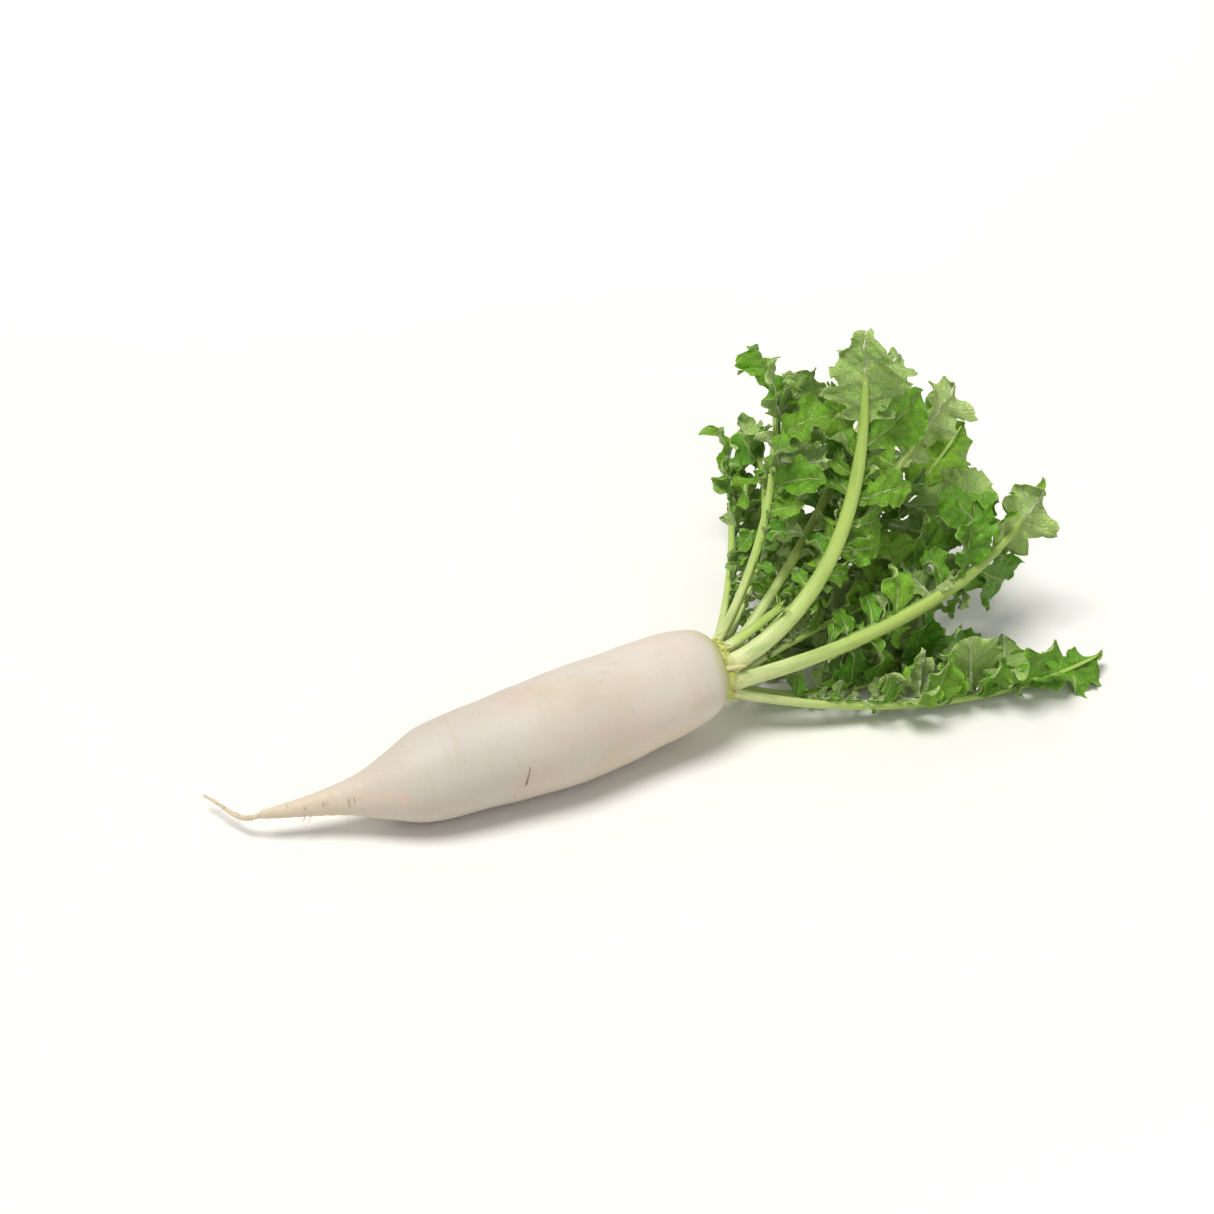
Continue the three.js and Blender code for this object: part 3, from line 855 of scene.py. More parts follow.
UPPER_FACE = BladeFinish(
    Face.UPPER, hex_colour("317a08"), hex_colour("62b41c"), hex_colour("b4e24a"),
    hex_colour("d4ec98"), 0.66, 0.0012, 0.26, 0.30,
)
LOWER_FACE = BladeFinish(
    Face.LOWER, hex_colour("8abc48"), hex_colour("aed666"), hex_colour("d8ec9e"),
    hex_colour("f2f9d0"), 0.85, 0.0014, 0.40, 0.22,
)


# ---- The taproot --------------------------------------------------------------------------


@dataclass
class Taproot:
    """The root with its crown, its tail and the rootlets on them."""

    line: tuple[Triple, ...] = (
        (143, 10.6, 36.5), (126, 11, 35.9), (98, 9.8, 33.1), (70, 6.8, 30.7), (43, 2, 31.1),
        (15, 0, 29.5), (-11, -0.6, 27.6), (-25, -1.2, 26.5), (-38, -1.4, 25.4), (-51, -2.6, 24.6),
        (-64, -1.8, 23.4), (-76, 1, 21.8), (-88, 4.2, 19.9), (-101, 7.4, 17.9), (-113, 11, 16.2),
        (-122, 13.6, 15),
    )
    girth: tuple[tuple[float, float], ...] = (
        (-5, 17), (-4.2, 17.4), (-1.4, 17), (0.4, 17.7), (1.8, 19.6), (4.5, 22), (9, 24.4),
        (17, 26.7), (27, 28.4), (40, 29.4), (56, 30.4), (72, 31.3), (90, 31.7), (109, 30.9),
        (123, 30), (136, 29), (149, 28.1), (163, 27), (171, 26), (177, 24.6), (183, 22.6),
        (189, 20), (196, 16.9), (203, 13.9), (212, 10.6), (222, 8), (234, 5.8), (246, 4),
        (255, 2.9), (260, 2.2),
    )
    shoulder_end: float = 138.0
    wobble: float = 0.011
    sides: int = 96
    tail_thread: tuple[Triple, ...] = (
        (-117, 12.4, 15.6), (-123, 14.8, 13.6), (-128.5, 18, 11.2), (-132.5, 23.2, 10),
        (-135.4, 28.5, 10.2), (-138.3, 34.6, 10.6), (-141.3, 41.5, 10.2), (-144.2, 48, 9),
    )
    thread_radius: tuple[float, float] = (1.7, 0.7)
    rootlets: int = 16
    rootlet_draws: int = 70
    rootlets_from: float = -78.0
    rootlets_over: float = 40.0

    def middle(self, x: np.ndarray) -> np.ndarray:
        """The root's middle line at x, as rows of places."""
        line = np.array(self.line)
        y = along(np.stack([-line[:, 0], line[:, 1]], axis=1), -x)
        z = along(np.stack([-line[:, 0], line[:, 2]], axis=1), -x)
        return np.stack([x, y, z], axis=-1)

    def radius(self, distance: np.ndarray) -> np.ndarray:
        """The root's radius at a distance from the shoulder's end."""
        return along(np.array(self.girth, float), distance)

    def body(self) -> bpy.types.Object:
        """Draws the body out from the tail to the crown, rounds it and lays it on its flat."""
        tip = np.array([261.2, 260.9, 260.4])
        tip_half = np.array([0.7, 1.3, 1.85])
        fine = np.concatenate([
            np.arange(260, 200, -3.0), np.arange(200, 12, -2.6), np.arange(12, 1.6, -1.15),
            np.array([1.2, 0.4, -0.6, -1.4, -2.4, -3.4, -4.2, -4.8]),
        ])
        distance = np.concatenate([tip, fine])
        half = np.concatenate([tip_half, self.radius(fine)])
        places = self.middle(self.shoulder_end - distance)
        turn = np.array([[0.0, 0, 1], [1, 0, 0], [0, 1, 0]])
        stations = [Station(p, turn, h) for p, h in zip(places, half)]
        body = draw_out("root_body", round_section(self.sides), stations, pointed=False)
        self.dome(body)
        finish_modifier(body, "SUBSURF", levels=1, render_levels=1)
        self.grow_uneven(body)
        open_up(body)
        bpy.ops.mesh.bisect(plane_co=(0, 0, GROUND), plane_no=(0, 0, 1), use_fill=True, clear_inner=True)
        bpy.ops.object.mode_set(mode="OBJECT")
        bpy.ops.object.shade_smooth_by_angle(angle=math.radians(40))
        return body

    def dome(self, body: bpy.types.Object) -> None:
        """Insets the crown's end face step by step, so that the bases of the leaves stand on a low dome."""
        open_faces(body)
        mesh = bmesh.from_edit_mesh(body.data)
        mesh.faces.ensure_lookup_table()
        end = max(mesh.faces, key=lambda face: face.calc_center_median().x)
        end.select_set(True)
        bmesh.update_edit_mesh(body.data)
        for inset, rise in ((0.4, 0.15), (1.2, 0.1), (3.5, 0.15), (5.0, 0.2), (4.0, 0.1)):
            bpy.ops.mesh.inset(thickness=inset * MM, depth=0)
            bpy.ops.transform.translate(value=(rise * MM, 0, 0))
        bpy.ops.mesh.select_mode(type="VERT")
        bpy.ops.object.mode_set(mode="OBJECT")

    def grow_uneven(self, body: bpy.types.Object) -> None:
        """Gives the girth its slow waves, the crown its scars and the tail its creases."""
        places = vertex_places(body) / MM
        middle = self.middle(places[:, 0])
        distance = self.shoulder_end - places[:, 0]
        spoke = places - middle
        spoke[:, 0] = 0
        angle = np.arctan2(spoke[:, 1], spoke[:, 2])
        uneven = np.sin(3 * angle + 0.035 * distance) + np.sin(2 * angle - 0.02 * distance)
        reach = 1 + self.wobble * uneven
        radius = np.linalg.norm(spoke, axis=1)
        bulge = 0.16 * np.sin(0.21 * distance + 1.3 * np.sin(angle)) * np.sin(2 * angle + 0.05 * distance)
        tail = smooth(190, 235, distance)
        crease = 0.18 * np.sin(1.1 * distance + 1.2 * np.sin(2 * angle + 0.1 * distance)) * tail
        neck = smooth(1.2, -0.8, distance)
        scars = 0.55 * np.sin(5 * angle + 0.6 * distance) + 0.4 * np.sin(9 * angle - 1.1 * distance + 2)
        gain = (bulge + crease * np.minimum(radius / 6, 1)) * smooth(0.5, 3, radius) - neck * np.abs(scars)
        places += spoke * (reach - 1)[:, None] + unit(spoke) * gain[:, None]
        set_places(body, places * MM)

    def thread(self) -> bpy.types.Object:
        """The thin end of the tail, with small kinks where hair roots have broken off."""
        places = flowing(self.tail_thread, 72)
        share = np.linspace(0, 1, len(places))
        kink = np.sin(share * 41) * np.sin(share * 17 + 1)
        half = self.thread_radius[0] * (1 - share) + self.thread_radius[1] * share
        half = half * (1 + 0.08 * kink) * np.where(share > 0.97, 0.6, 1)
        places[:, 2] += 0.18 * kink * smooth(0.1, 0.3, share)
        return draw_out("root_thread", round_section(14), thread_stations(places, half), pointed=True)

    def hair_roots(self) -> list[bpy.types.Object]:
        """Fine rootlets along the tail and its thread."""
        made = []
        spine = flowing(self.tail_thread, 60)
        for n in range(self.rootlets):
            pick, swing, size = (chance(self.rootlet_draws, n, k) for k in (1, 2, 3))
            if n % 2:
                foot = spine[int(8 + pick * 46)]
                out = np.array([0.0, math.cos(6.3 * swing), abs(math.sin(6.3 * swing))])
                start, length = foot, 5 + 7 * size
            else:
                x = self.rootlets_from - self.rootlets_over * pick
                middle = self.middle(np.array([x]))[0]
                turn = math.pi * (0.5 + (1 if n % 4 else -1) * (0.75 + 0.2 * swing))
                out = np.array([0.0, math.sin(turn), math.cos(turn)])
                start = middle + out * (self.radius(np.array([self.shoulder_end - x]))[0] - 0.3)
                length = 4 + 6 * size
            ahead = np.array([-0.75, 0.25 * (swing - 0.5), -0.1])
            share = np.linspace(0, 1, 10)[:, None]
            places = start + length * (out * share * (1 - 0.45 * share) + ahead * share**1.6)
            places[:, 2] = lifted(places[:, 2], 0.3)
            places[0] = start
            half = mix(0.26, 0.30, size) * (1 - 0.75 * share[:, 0])
            made.append(draw_out("rootlet", round_section(5), thread_stations(places, half), pointed=True))
        return made

    def build(self) -> bpy.types.Object:
        """Makes the root and puts it in place of its solid.

        Returns:
            The finished piece.
        """
        root = join_pieces([self.body(), self.thread(), *self.hair_roots()], "radish_root")
        root.data.materials.clear()
        root.data.materials.append(SkinFinish().material())
        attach(root, BODY)
        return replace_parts(root, "root")


# ---- The leaves ---------------------------------------------------------------------------

CROWN = np.array([143.4, 10.6, 36.5])
OUTER_RING = 13.2
INNER_RING = 6.2
COURSE_STEPS = 56
STALK_TAPER = 0.42
TIP_FROM = 0.6
TIP_TAPER = 0.72
STALK_FLATNESS = 0.74
STALK_TOP = 0.5
USUAL_LENGTH = 220.0
LEAFY_FROM = 0.26
LAST_LOBE_FROM = 0.75
PAIRS = 7
SMALL_PAIRS = 2
SMALL_MISSING = 0.4
LEAFLET_LENGTH = (15.0, 52.0)
LEAFLET_WIDTH = 0.7
LEAFLET_LEAN = 1.1
LEAFLET_NOTCH = 0.28
LEAFLET_TEETH = (1, 1, 1, 2, 2, 3, 3)
LAST_LOBE_WIDTH = 49.0
LAST_LOBE_LEAN = 0.85
LAST_LOBE_NOTCH = 0.26
LAST_LOBE_TEETH = 4
BLADE_THICKNESS = 0.8
GAP = 0.3
CLEARANCE = 4.0
BENDS = (0, 18, -18, 36, 54, 72, 90)
LOBE_BENDS = (0, 12, 24, 36)
SIZES = (1, 0.8, 0.62)


@dataclass(frozen=True)
class Frame:
    """The place and the directions at one or several shares of a leaf's length."""

    place: np.ndarray
    way: np.ndarray
    face: np.ndarray
    side: np.ndarray


@dataclass(frozen=True)
class Leaf:
    """A leaf: where it stands round the crown, its course at base and tip, and its size.

    The roll is 0 at the crown's top and grows towards the back. The heading and the pitch are
    given at the base and at the tip, droop bends the tip and twist turns it.
    """

    roll: float
    ring: float
    heading: tuple[float, float]
    pitch: tuple[float, float]
    droop: float
    length: float
    width: float
    twist: float
    whole: bool = True

    def stalk_half(self, share: Union[float, np.ndarray]) -> np.ndarray:
        """Half the stalk's width: it thins slowly, and faster in the blade."""
        share = np.asarray(share, float)
        tip = np.maximum(0, (share - TIP_FROM) / (1 - TIP_FROM)) ** 1.2 if self.whole else 0.0
        return (self.width / 2) * (1 - STALK_TAPER * share) * (1 - TIP_TAPER * tip)

    def course(self) -> Frame:
        """The leaf's course in even steps."""
        roll = math.radians(self.roll)
        outward = np.array([0.0, math.sin(roll), math.cos(roll)])
        places = [CROWN + outward * self.ring]
        for i in range(1, COURSE_STEPS + 1):
            t = (i - 0.5) / COURSE_STEPS
            bent = max(0.0, t - 0.5) ** 2 * 4 * self.droop
            way = course_way(mix(*self.heading, t), mix(*self.pitch, t) + bent)
            places.append(places[-1] + way * self.length / COURSE_STEPS)
        place = np.array(places)
        share = np.arange(COURSE_STEPS + 1) / COURSE_STEPS
        place[:, 2] = lifted(place[:, 2], GROUND + self.stalk_half(share))
        ahead = np.minimum(np.arange(COURSE_STEPS + 1) + 1, COURSE_STEPS)
        behind = np.maximum(np.arange(COURSE_STEPS + 1) - 1, 0)
        way = unit(place[ahead] - place[behind])
        face, faces = -outward, []
        for i in range(COURSE_STEPS + 1):
            face = unit(face - way[i] * (face @ way[i]))
            turn = math.radians(self.twist * i) / COURSE_STEPS
            faces.append(face * math.cos(turn) + np.cross(way[i], face) * math.sin(turn))
        turned = np.array(faces)
        return Frame(place, way, turned, np.cross(way, turned))


LEAVES = (
    Leaf(-135, OUTER_RING, (-21, 6), (-15, 3), 10, 227, 9.4, 44),
    Leaf(180, OUTER_RING, (-9, 19), (-22, -18), 1, 185, 9, 0),
    Leaf(135, OUTER_RING, (28, 43), (-28, -23), -20, 182, 9, -10),
    Leaf(-90, OUTER_RING, (-11, 37), (9, 6), 27, 235, 9.8, -13),
    Leaf(-45, OUTER_RING, (-2, 79), (21, 81), -4, 208, 10, -10),
    Leaf(45, OUTER_RING, (23, 88), (47, 43), -63, 190, 9.4, -13),
    Leaf(90, OUTER_RING, (54, 75), (0, 28), -24, 190, 9.2, -24),
    Leaf(-150, INNER_RING, (10, 16), (12, -7), -26, 184, 6.4, -18),
    Leaf(-78, INNER_RING, (19, 32), (20, 36), -9, 219, 6.6, 10),
    Leaf(-6, INNER_RING, (28, 39), (23, 48), -35, 212, 6.4, 24),
    Leaf(66, INNER_RING, (38, 86), (26, 0), -5, 196, 6.2, 28),
    Leaf(138, INNER_RING, (25, 26), (7, 16), 23, 231, 6.2, -8),
)
TORN = Leaf(0, OUTER_RING, (-6, -4), (32, 36), 0, 40, 7.6, 0, whole=False)


def swelling(share: np.ndarray, lean: float) -> np.ndarray:
    """A lobe's width without its teeth, as a share of the full width. Lean moves the widest place."""
    return np.maximum(np.sin(math.pi * share**lean), 0) ** (lean * 0.85)


def outline(share: np.ndarray, rows: int, depth: float, lean: float) -> np.ndarray:
    """Half the width of a lobe at a share of its length, going in and out with straight teeth."""
    notch = np.abs((((share * rows) / 2) % 1) * 2 - 1)
    return swelling(share, lean) * (1 - depth * notch)


def ruffle(share: np.ndarray, across: np.ndarray, waves: float, phase: float) -> np.ndarray:
    """The waving of an edge, as height per unit of width."""
    turn = waves * share + phase + np.where(across > 0, 0.38, 0)
    return np.sqrt(share) * np.sin(2 * math.pi * turn)


@dataclass(frozen=True)
class Lobe:
    """A lobe of a blade: a leaflet beside the stalk, or with side 0 the end lobe."""

    key: int
    side: int
    half: float
    length: float
    fold: float
    phase: float
    rows: int
    base: tuple[float, ...] = ()
    forward: float = 0.0
    rise: float = 0.0
    curl: float = 0.0
    turn: float = 0.0
    bend: float = 0.0

    @property
    def pitch(self) -> float:
        """The distance between two teeth."""
        return 2 * self.length / self.rows


class Plant:
    """A leaf as it stands: its course, and the lobes that found room on it."""

    def __init__(self, leaf: Leaf, number: int) -> None:
        """Lays out the leaf's course."""
        self.leaf = leaf
        self.number = number
        self.line = leaf.course()
        self.taken: list[np.ndarray] = []
        self.leaflets: list[Lobe] = []
        self.end_lobe: Optional[Lobe] = None

    def frame(self, share: Union[float, np.ndarray], flowing_line: bool = False) -> Frame:
        """The place and directions at shares of the length.

        Args:
            share: The shares.
            flowing_line: Whether the places lie on a smooth curve and not on straight steps.

        Returns:
            The frame.
        """
        at = np.clip(np.asarray(share, float), 0, 1) * COURSE_STEPS
        i = np.minimum(np.floor(at).astype(int), COURSE_STEPS - 1)
        t = (at - i)[..., None]
        line = self.line
        place = line.place[i] * (1 - t) + line.place[i + 1] * t
        if flowing_line:
            before, after = np.maximum(i - 1, 0), np.minimum(i + 2, COURSE_STEPS)
            place = curve(line.place[before], line.place[i], line.place[i + 1], line.place[after], t)
        way, face, side = (
            unit(v[i] * (1 - t) + v[i + 1] * t) for v in (line.way, line.face, line.side)
        )
        return Frame(place, way, face, side)

    def strip(
        self, share: Union[float, np.ndarray], across: Union[float, np.ndarray], fine: bool = False
    ) -> Frame:
        """A point of the blade's middle strip, which lies on the stalk's flat upper face.

        Args:
            share: The share of the leaf's length.
            across: From -1 at the one edge to 1 at the other.
            fine: Whether the smooth course is followed.

        Returns:
            The frame, with the strip's point as its place.
        """
        at = self.frame(share, fine)
        half = self.leaf.stalk_half(share)
        height = half * STALK_FLATNESS * STALK_TOP + GAP + BLADE_THICKNESS / 2
        sideways = (half * 0.8 + 0.7) * across
        place = at.place + at.side * np.asarray(sideways)[..., None] + at.face * np.asarray(height)[..., None]
        return replace(at, place=place)

    def leaflet_points(
        self, lobe: Lobe, share: np.ndarray, across: np.ndarray, width: Optional[np.ndarray] = None
    ) -> np.ndarray:
        """Points of a leaflet.

        Args:
            lobe: The leaflet.
            share: The shares of its length, from its base to its tip.
            across: From -1 to 1 across its width.
            width: Half its width at each share, or None for the plain outline.

        Returns:
            The points.
        """
        foot = self.strip(lobe.base[1], float(lobe.side))
        forward, rise = math.radians(lobe.forward), math.radians(lobe.rise + lobe.bend)
        level = (foot.side * (lobe.side * math.cos(forward)) + foot.way * math.sin(forward)) * math.cos(rise)
        start = unit(level + foot.face * math.sin(rise))
        across0 = unit(foot.way - start * (foot.way @ start))
        turn = np.radians(lobe.turn * share)[..., None]
        sideways = across0 * np.cos(turn) + np.cross(start, across0) * np.sin(turn)
        normal = np.cross(start, sideways) * -lobe.side
        curl = math.radians(lobe.curl)
        reach = (lobe.length * np.sin(curl * share) / curl)[..., None]
        drop = (lobe.length * (1 - np.cos(curl * share)) / curl)[..., None]
        half = width
        if width is None:
            half = lobe.half * outline(share, lobe.rows, LEAFLET_NOTCH, LEAFLET_LEAN)
        slope = math.tan(math.radians(lobe.fold)) + 0.3 * ruffle(share, across, 1.3, lobe.phase)
        lift = half * np.abs(across) * slope
        if width is not None:
            soft = np.sqrt(across**2 + 0.012) - 0.11
            even = math.tan(math.radians(lobe.fold)) * soft
            wavy = 0.34 * ruffle(share, across, 1.3, lobe.phase)
            wavy = wavy + 0.24 * ruffle(share, across, 3.1, lobe.phase * 5) * np.abs(across)
            lift = half * (even + across**2 * wavy)
        bent = (curl * share)[..., None]
        upper = normal * np.cos(bent) + start * np.sin(bent)
        points = foot.place + start * reach - normal * drop
        points = points + sideways * (half * across)[..., None] + upper * lift[..., None]
        points[..., 2] = lifted(points[..., 2], GROUND + 0.5)
        return points

    def end_points(
        self, lobe: Lobe, share: np.ndarray, across: np.ndarray, width: Optional[np.ndarray] = None
    ) -> np.ndarray:
        """Points of the end lobe, which follows the rest of the leaf's course."""
        foot = self.strip(LAST_LOBE_FROM + (1 - LAST_LOBE_FROM) * share, 0.0, fine=width is not None)
        half = width
        if width is None:
            half = lobe.half * outline(share, lobe.rows, LAST_LOBE_NOTCH, LAST_LOBE_LEAN)
        fold = math.radians(lobe.fold + lobe.bend)
        arch = np.abs(across)
        wave = 0.34 * ruffle(share, across, 1.6, lobe.phase)
        even = arch if width is None else np.sqrt(across**2 + 0.006) - 0.0775
        lift = even * math.sin(fold) + arch * arch * wave
        sideways = across * math.cos(fold)
        if width is not None:
            hang = np.sin(2 * math.pi * (0.8 * share + lobe.phase)) * smooth(0.0, 0.4, share)
            heavy = np.where(across > 0, mix(0.15, 0.75, lobe.phase), mix(0.75, 0.15, lobe.phase))
            quick = 0.26 * ruffle(share, across, 3.4, lobe.phase * 7) * arch**3
            lift = lift + 0.34 * across * hang + quick - 0.55 * share**3 - heavy * arch**2.2
            sideways = sideways * (1 - 0.22 * heavy * arch**2)
        points = foot.place + foot.side * (half * sideways)[..., None]
        points = points + foot.face * (half * lift)[..., None]
        points[..., 2] = lifted(points[..., 2], GROUND + 0.5)
        return points

    def points(
        self, lobe: Lobe, share: np.ndarray, across: np.ndarray, width: Optional[np.ndarray] = None
    ) -> np.ndarray:
        """Points of a lobe of either kind."""
        place = self.leaflet_points if lobe.side else self.end_points
        return place(lobe, share, across, width)

    def probes(self, lobe: Lobe) -> np.ndarray:
        """Points spread over a lobe, by which its distance from others is found."""
        share = (np.arange(2 * lobe.rows - 1) + 2) / (2 * lobe.rows)
        share = share[share > 0.25]
        across = np.array([-1, -0.5, 0, 0.5, 1.0])
        grid = np.meshgrid(share, across, indexing="ij")
        return self.points(lobe, *grid).reshape(-1, 3)

    def leaflet_plan(self, side: int, pair: int) -> Optional[Lobe]:
        """A leaflet's size and set, or None for one of the small ones that are missing.

        Args:
            side: -1 or 1.
            pair: The pair's number, from the base upwards.

        Returns:
            The leaflet.
        """
        key = pair * 2 + (1 if side > 0 else 0)

        def draw(purpose: int) -> float:
            """The leaflet's own number for a purpose."""
            return chance(self.number, key, purpose)

        if pair < SMALL_PAIRS and draw(9) < SMALL_MISSING:
            return None
        grown = pair / (PAIRS - 1)
        step = (LAST_LOBE_FROM - LEAFY_FROM) / PAIRS
        row = 1 if side > 0 else 0
        vigour = mix(0.82, 1.15, draw(1)) * (self.leaf.length / USUAL_LENGTH)
        length = mix(*LEAFLET_LENGTH, grown) * vigour
        return Lobe(
            key=key,
            side=side,
            base=tuple(LEAFY_FROM + step * (pair + k * 0.22) for k in (row, row + 1, row + 2)),
            length=length,
            half=length * LEAFLET_WIDTH * mix(0.9, 1.2, draw(2)) / 2,
            forward=mix(14, 36, draw(3)) + 10 * grown,
            rise=mix(-5, 50, draw(4)),
            curl=mix(15, 80, draw(5)),
            turn=mix(-28, 28, draw(8)),
            fold=mix(2, 24, draw(6)),
            phase=draw(7),
            rows=LEAFLET_TEETH[pair] * 2 + 1,
        )

    def end_plan(self) -> Lobe:
        """The end lobe's size and set."""
        key = 2 * PAIRS
        vigour = mix(0.85, 1.15, chance(self.number, key, 2)) * (self.leaf.length / USUAL_LENGTH)
        return Lobe(
            key=key,
            side=0,
            half=LAST_LOBE_WIDTH / 2 * vigour,
            length=self.leaf.length * (1 - LAST_LOBE_FROM),
            fold=mix(11, 28, chance(self.number, key, 6)),
            phase=chance(self.number, key, 7),
            rows=2 * LAST_LOBE_TEETH + 1,
        )

    def settle(self, plan: Lobe, others: Iterable["Plant"]) -> Optional[Lobe]:
        """Finds the first size and bend at which a lobe is clear of all others.

        Args:
            plan: The lobe as planned.
            others: The other leaves.

        Returns:
            The lobe as it can stand, or None if there is no room.
        """
        taken = np.vstack([part for other in others for part in (other.line.place, *other.taken)])
        from_stalk = float(self.leaf.stalk_half(plan.base[0])) + 1 if plan.side else 0.0
        for size in SIZES:
            for bend in BENDS if plan.side else LOBE_BENDS:
                length = plan.length * size if plan.side else plan.length
                lobe = replace(plan, half=plan.half * size, length=length, bend=float(bend))
                points = self.probes(lobe)
                if nearest(points, taken) <= CLEARANCE:
                    continue
                if self.taken and nearest(points, np.vstack(self.taken)) <= CLEARANCE * 0.7:
                    continue
                if plan.side and nearest(points, self.line.place) <= from_stalk:
                    continue
                self.taken.append(points)
                return lobe
        return None


def nearest(points: np.ndarray, others: np.ndarray) -> float:
    """The smallest distance between two sets of points."""
    gaps = points[:, None, :] - others[None, :, :]
    return float(np.sqrt((gaps * gaps).sum(axis=2).min()))


def grow_leaves() -> list[Plant]:
    """Sets out all leaves: end lobes first, then the leaflets from the largest pair down.

    Returns:
        The leaves as they stand.
    """
    plants = [Plant(leaf, number) for number, leaf in enumerate(LEAVES)]
    for plant in plants:
        plant.end_lobe = plant.settle(plant.end_plan(), [p for p in plants if p is not plant])
    for pair in reversed(range(PAIRS)):
        for plant in plants:
            others = [p for p in plants if p is not plant]
            for side in (-1, 1):
                plan = plant.leaflet_plan(side, pair)
                lobe = plant.settle(plan, others) if plan else None
                if lobe:
                    plant.leaflets.append(lobe)
    return plants


@dataclass
class Stalk:
    """A leaf's stalk with its midrib: half round below, with a shallow channel above."""

    plant: Plant
    name: str
    node: str
    sides: int = 40
    rings: int = 84
    ridges: int = 15
    ridge_height: float = 0.022
    channel: float = 0.10
    sunk: float = 2.6
    foot_flare: float = 0.20
    end: float = 0.985

    def section(self) -> np.ndarray:
        """The stalk's section for a half width of 1."""
        angle = -2 * math.pi * np.arange(self.sides) / self.sides
        swell = 1 + self.ridge_height * np.cos(self.ridges * angle)
        sideways = np.cos(angle) * swell
        sine = np.sin(angle)
        top = STALK_TOP - np.log1p(np.exp((STALK_TOP - sine) * 14)) / 14
        upward = np.where(sine > 0, top, sine * swell) * STALK_FLATNESS
        groove = self.channel * np.exp(-((sideways / 0.4) ** 2)) * (sine > 0.3)
        return np.stack([sideways, upward - groove], axis=1)

    def stations(self) -> list[Station]:
        """Where the stalk's rings stand, the first of them sunk into the crown."""
        share = np.linspace(0, self.end, self.rings)
        at = self.plant.frame(share, flowing_line=True)
        half = self.plant.leaf.stalk_half(share)
        flare = 1 + self.foot_flare * np.exp(-share / 0.024)
        knots = flare + 0.012 * np.sin(share * 37 + self.plant.number) + 0.008 * np.sin(share * 90)
        made = [Station(at.place[0] - at.way[0] * self.sunk, self.turned(at, 0), float(half[0] * knots[0]))]
        made += [
            Station(at.place[i], self.turned(at, i), float(half[i] * knots[i]))
            for i in range(self.rings)
        ]
        return made

    @staticmethod
    def turned(at: Frame, i: int) -> np.ndarray:
        """The ring's directions as the columns side, face and way, square to each other."""
        way = at.way[i]
        face = unit(at.face[i] - way * (at.face[i] @ way))
        return np.stack([np.cross(way, face), face, way], axis=1)

    def keep_grain(self, piece: bpy.types.Object) -> None:
        """Stores for each vertex where it lies on the straightened stalk, for the finish."""
        places = vertex_places(piece) / MM
        share = np.linspace(0, 1, 400)
        line = self.plant.frame(share, flowing_line=True)
        gaps = ((places[:, None, :] - line.place[None, :, :]) ** 2).sum(axis=2)
        i = gaps.argmin(axis=1)
        spoke = places - line.place[i]
        sideways, upward = (spoke * line.side[i]).sum(axis=1), (spoke * line.face[i]).sum(axis=1)
        grain = np.stack([share[i] * self.plant.leaf.length, sideways, upward], axis=1)
        grain[:, 1] += self.plant.number * 40
        keep_vectors(piece, "grain", grain)
        keep_vectors(piece, "growth", np.stack([share[i], share[i] * 0, share[i] * 0], axis=1))

    def build(self, material: bpy.types.Material) -> bpy.types.Object:
        """Makes the stalk and puts it in place of its solid.

        Args:
            material: The stalks' finish.

        Returns:
            The finished piece.
        """
        piece = draw_out(self.name, self.section(), self.stations(), pointed=False)
        self.keep_grain(piece)
        piece.data.materials.append(material)
        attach(piece, BODY)
        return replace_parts(piece, self.node)


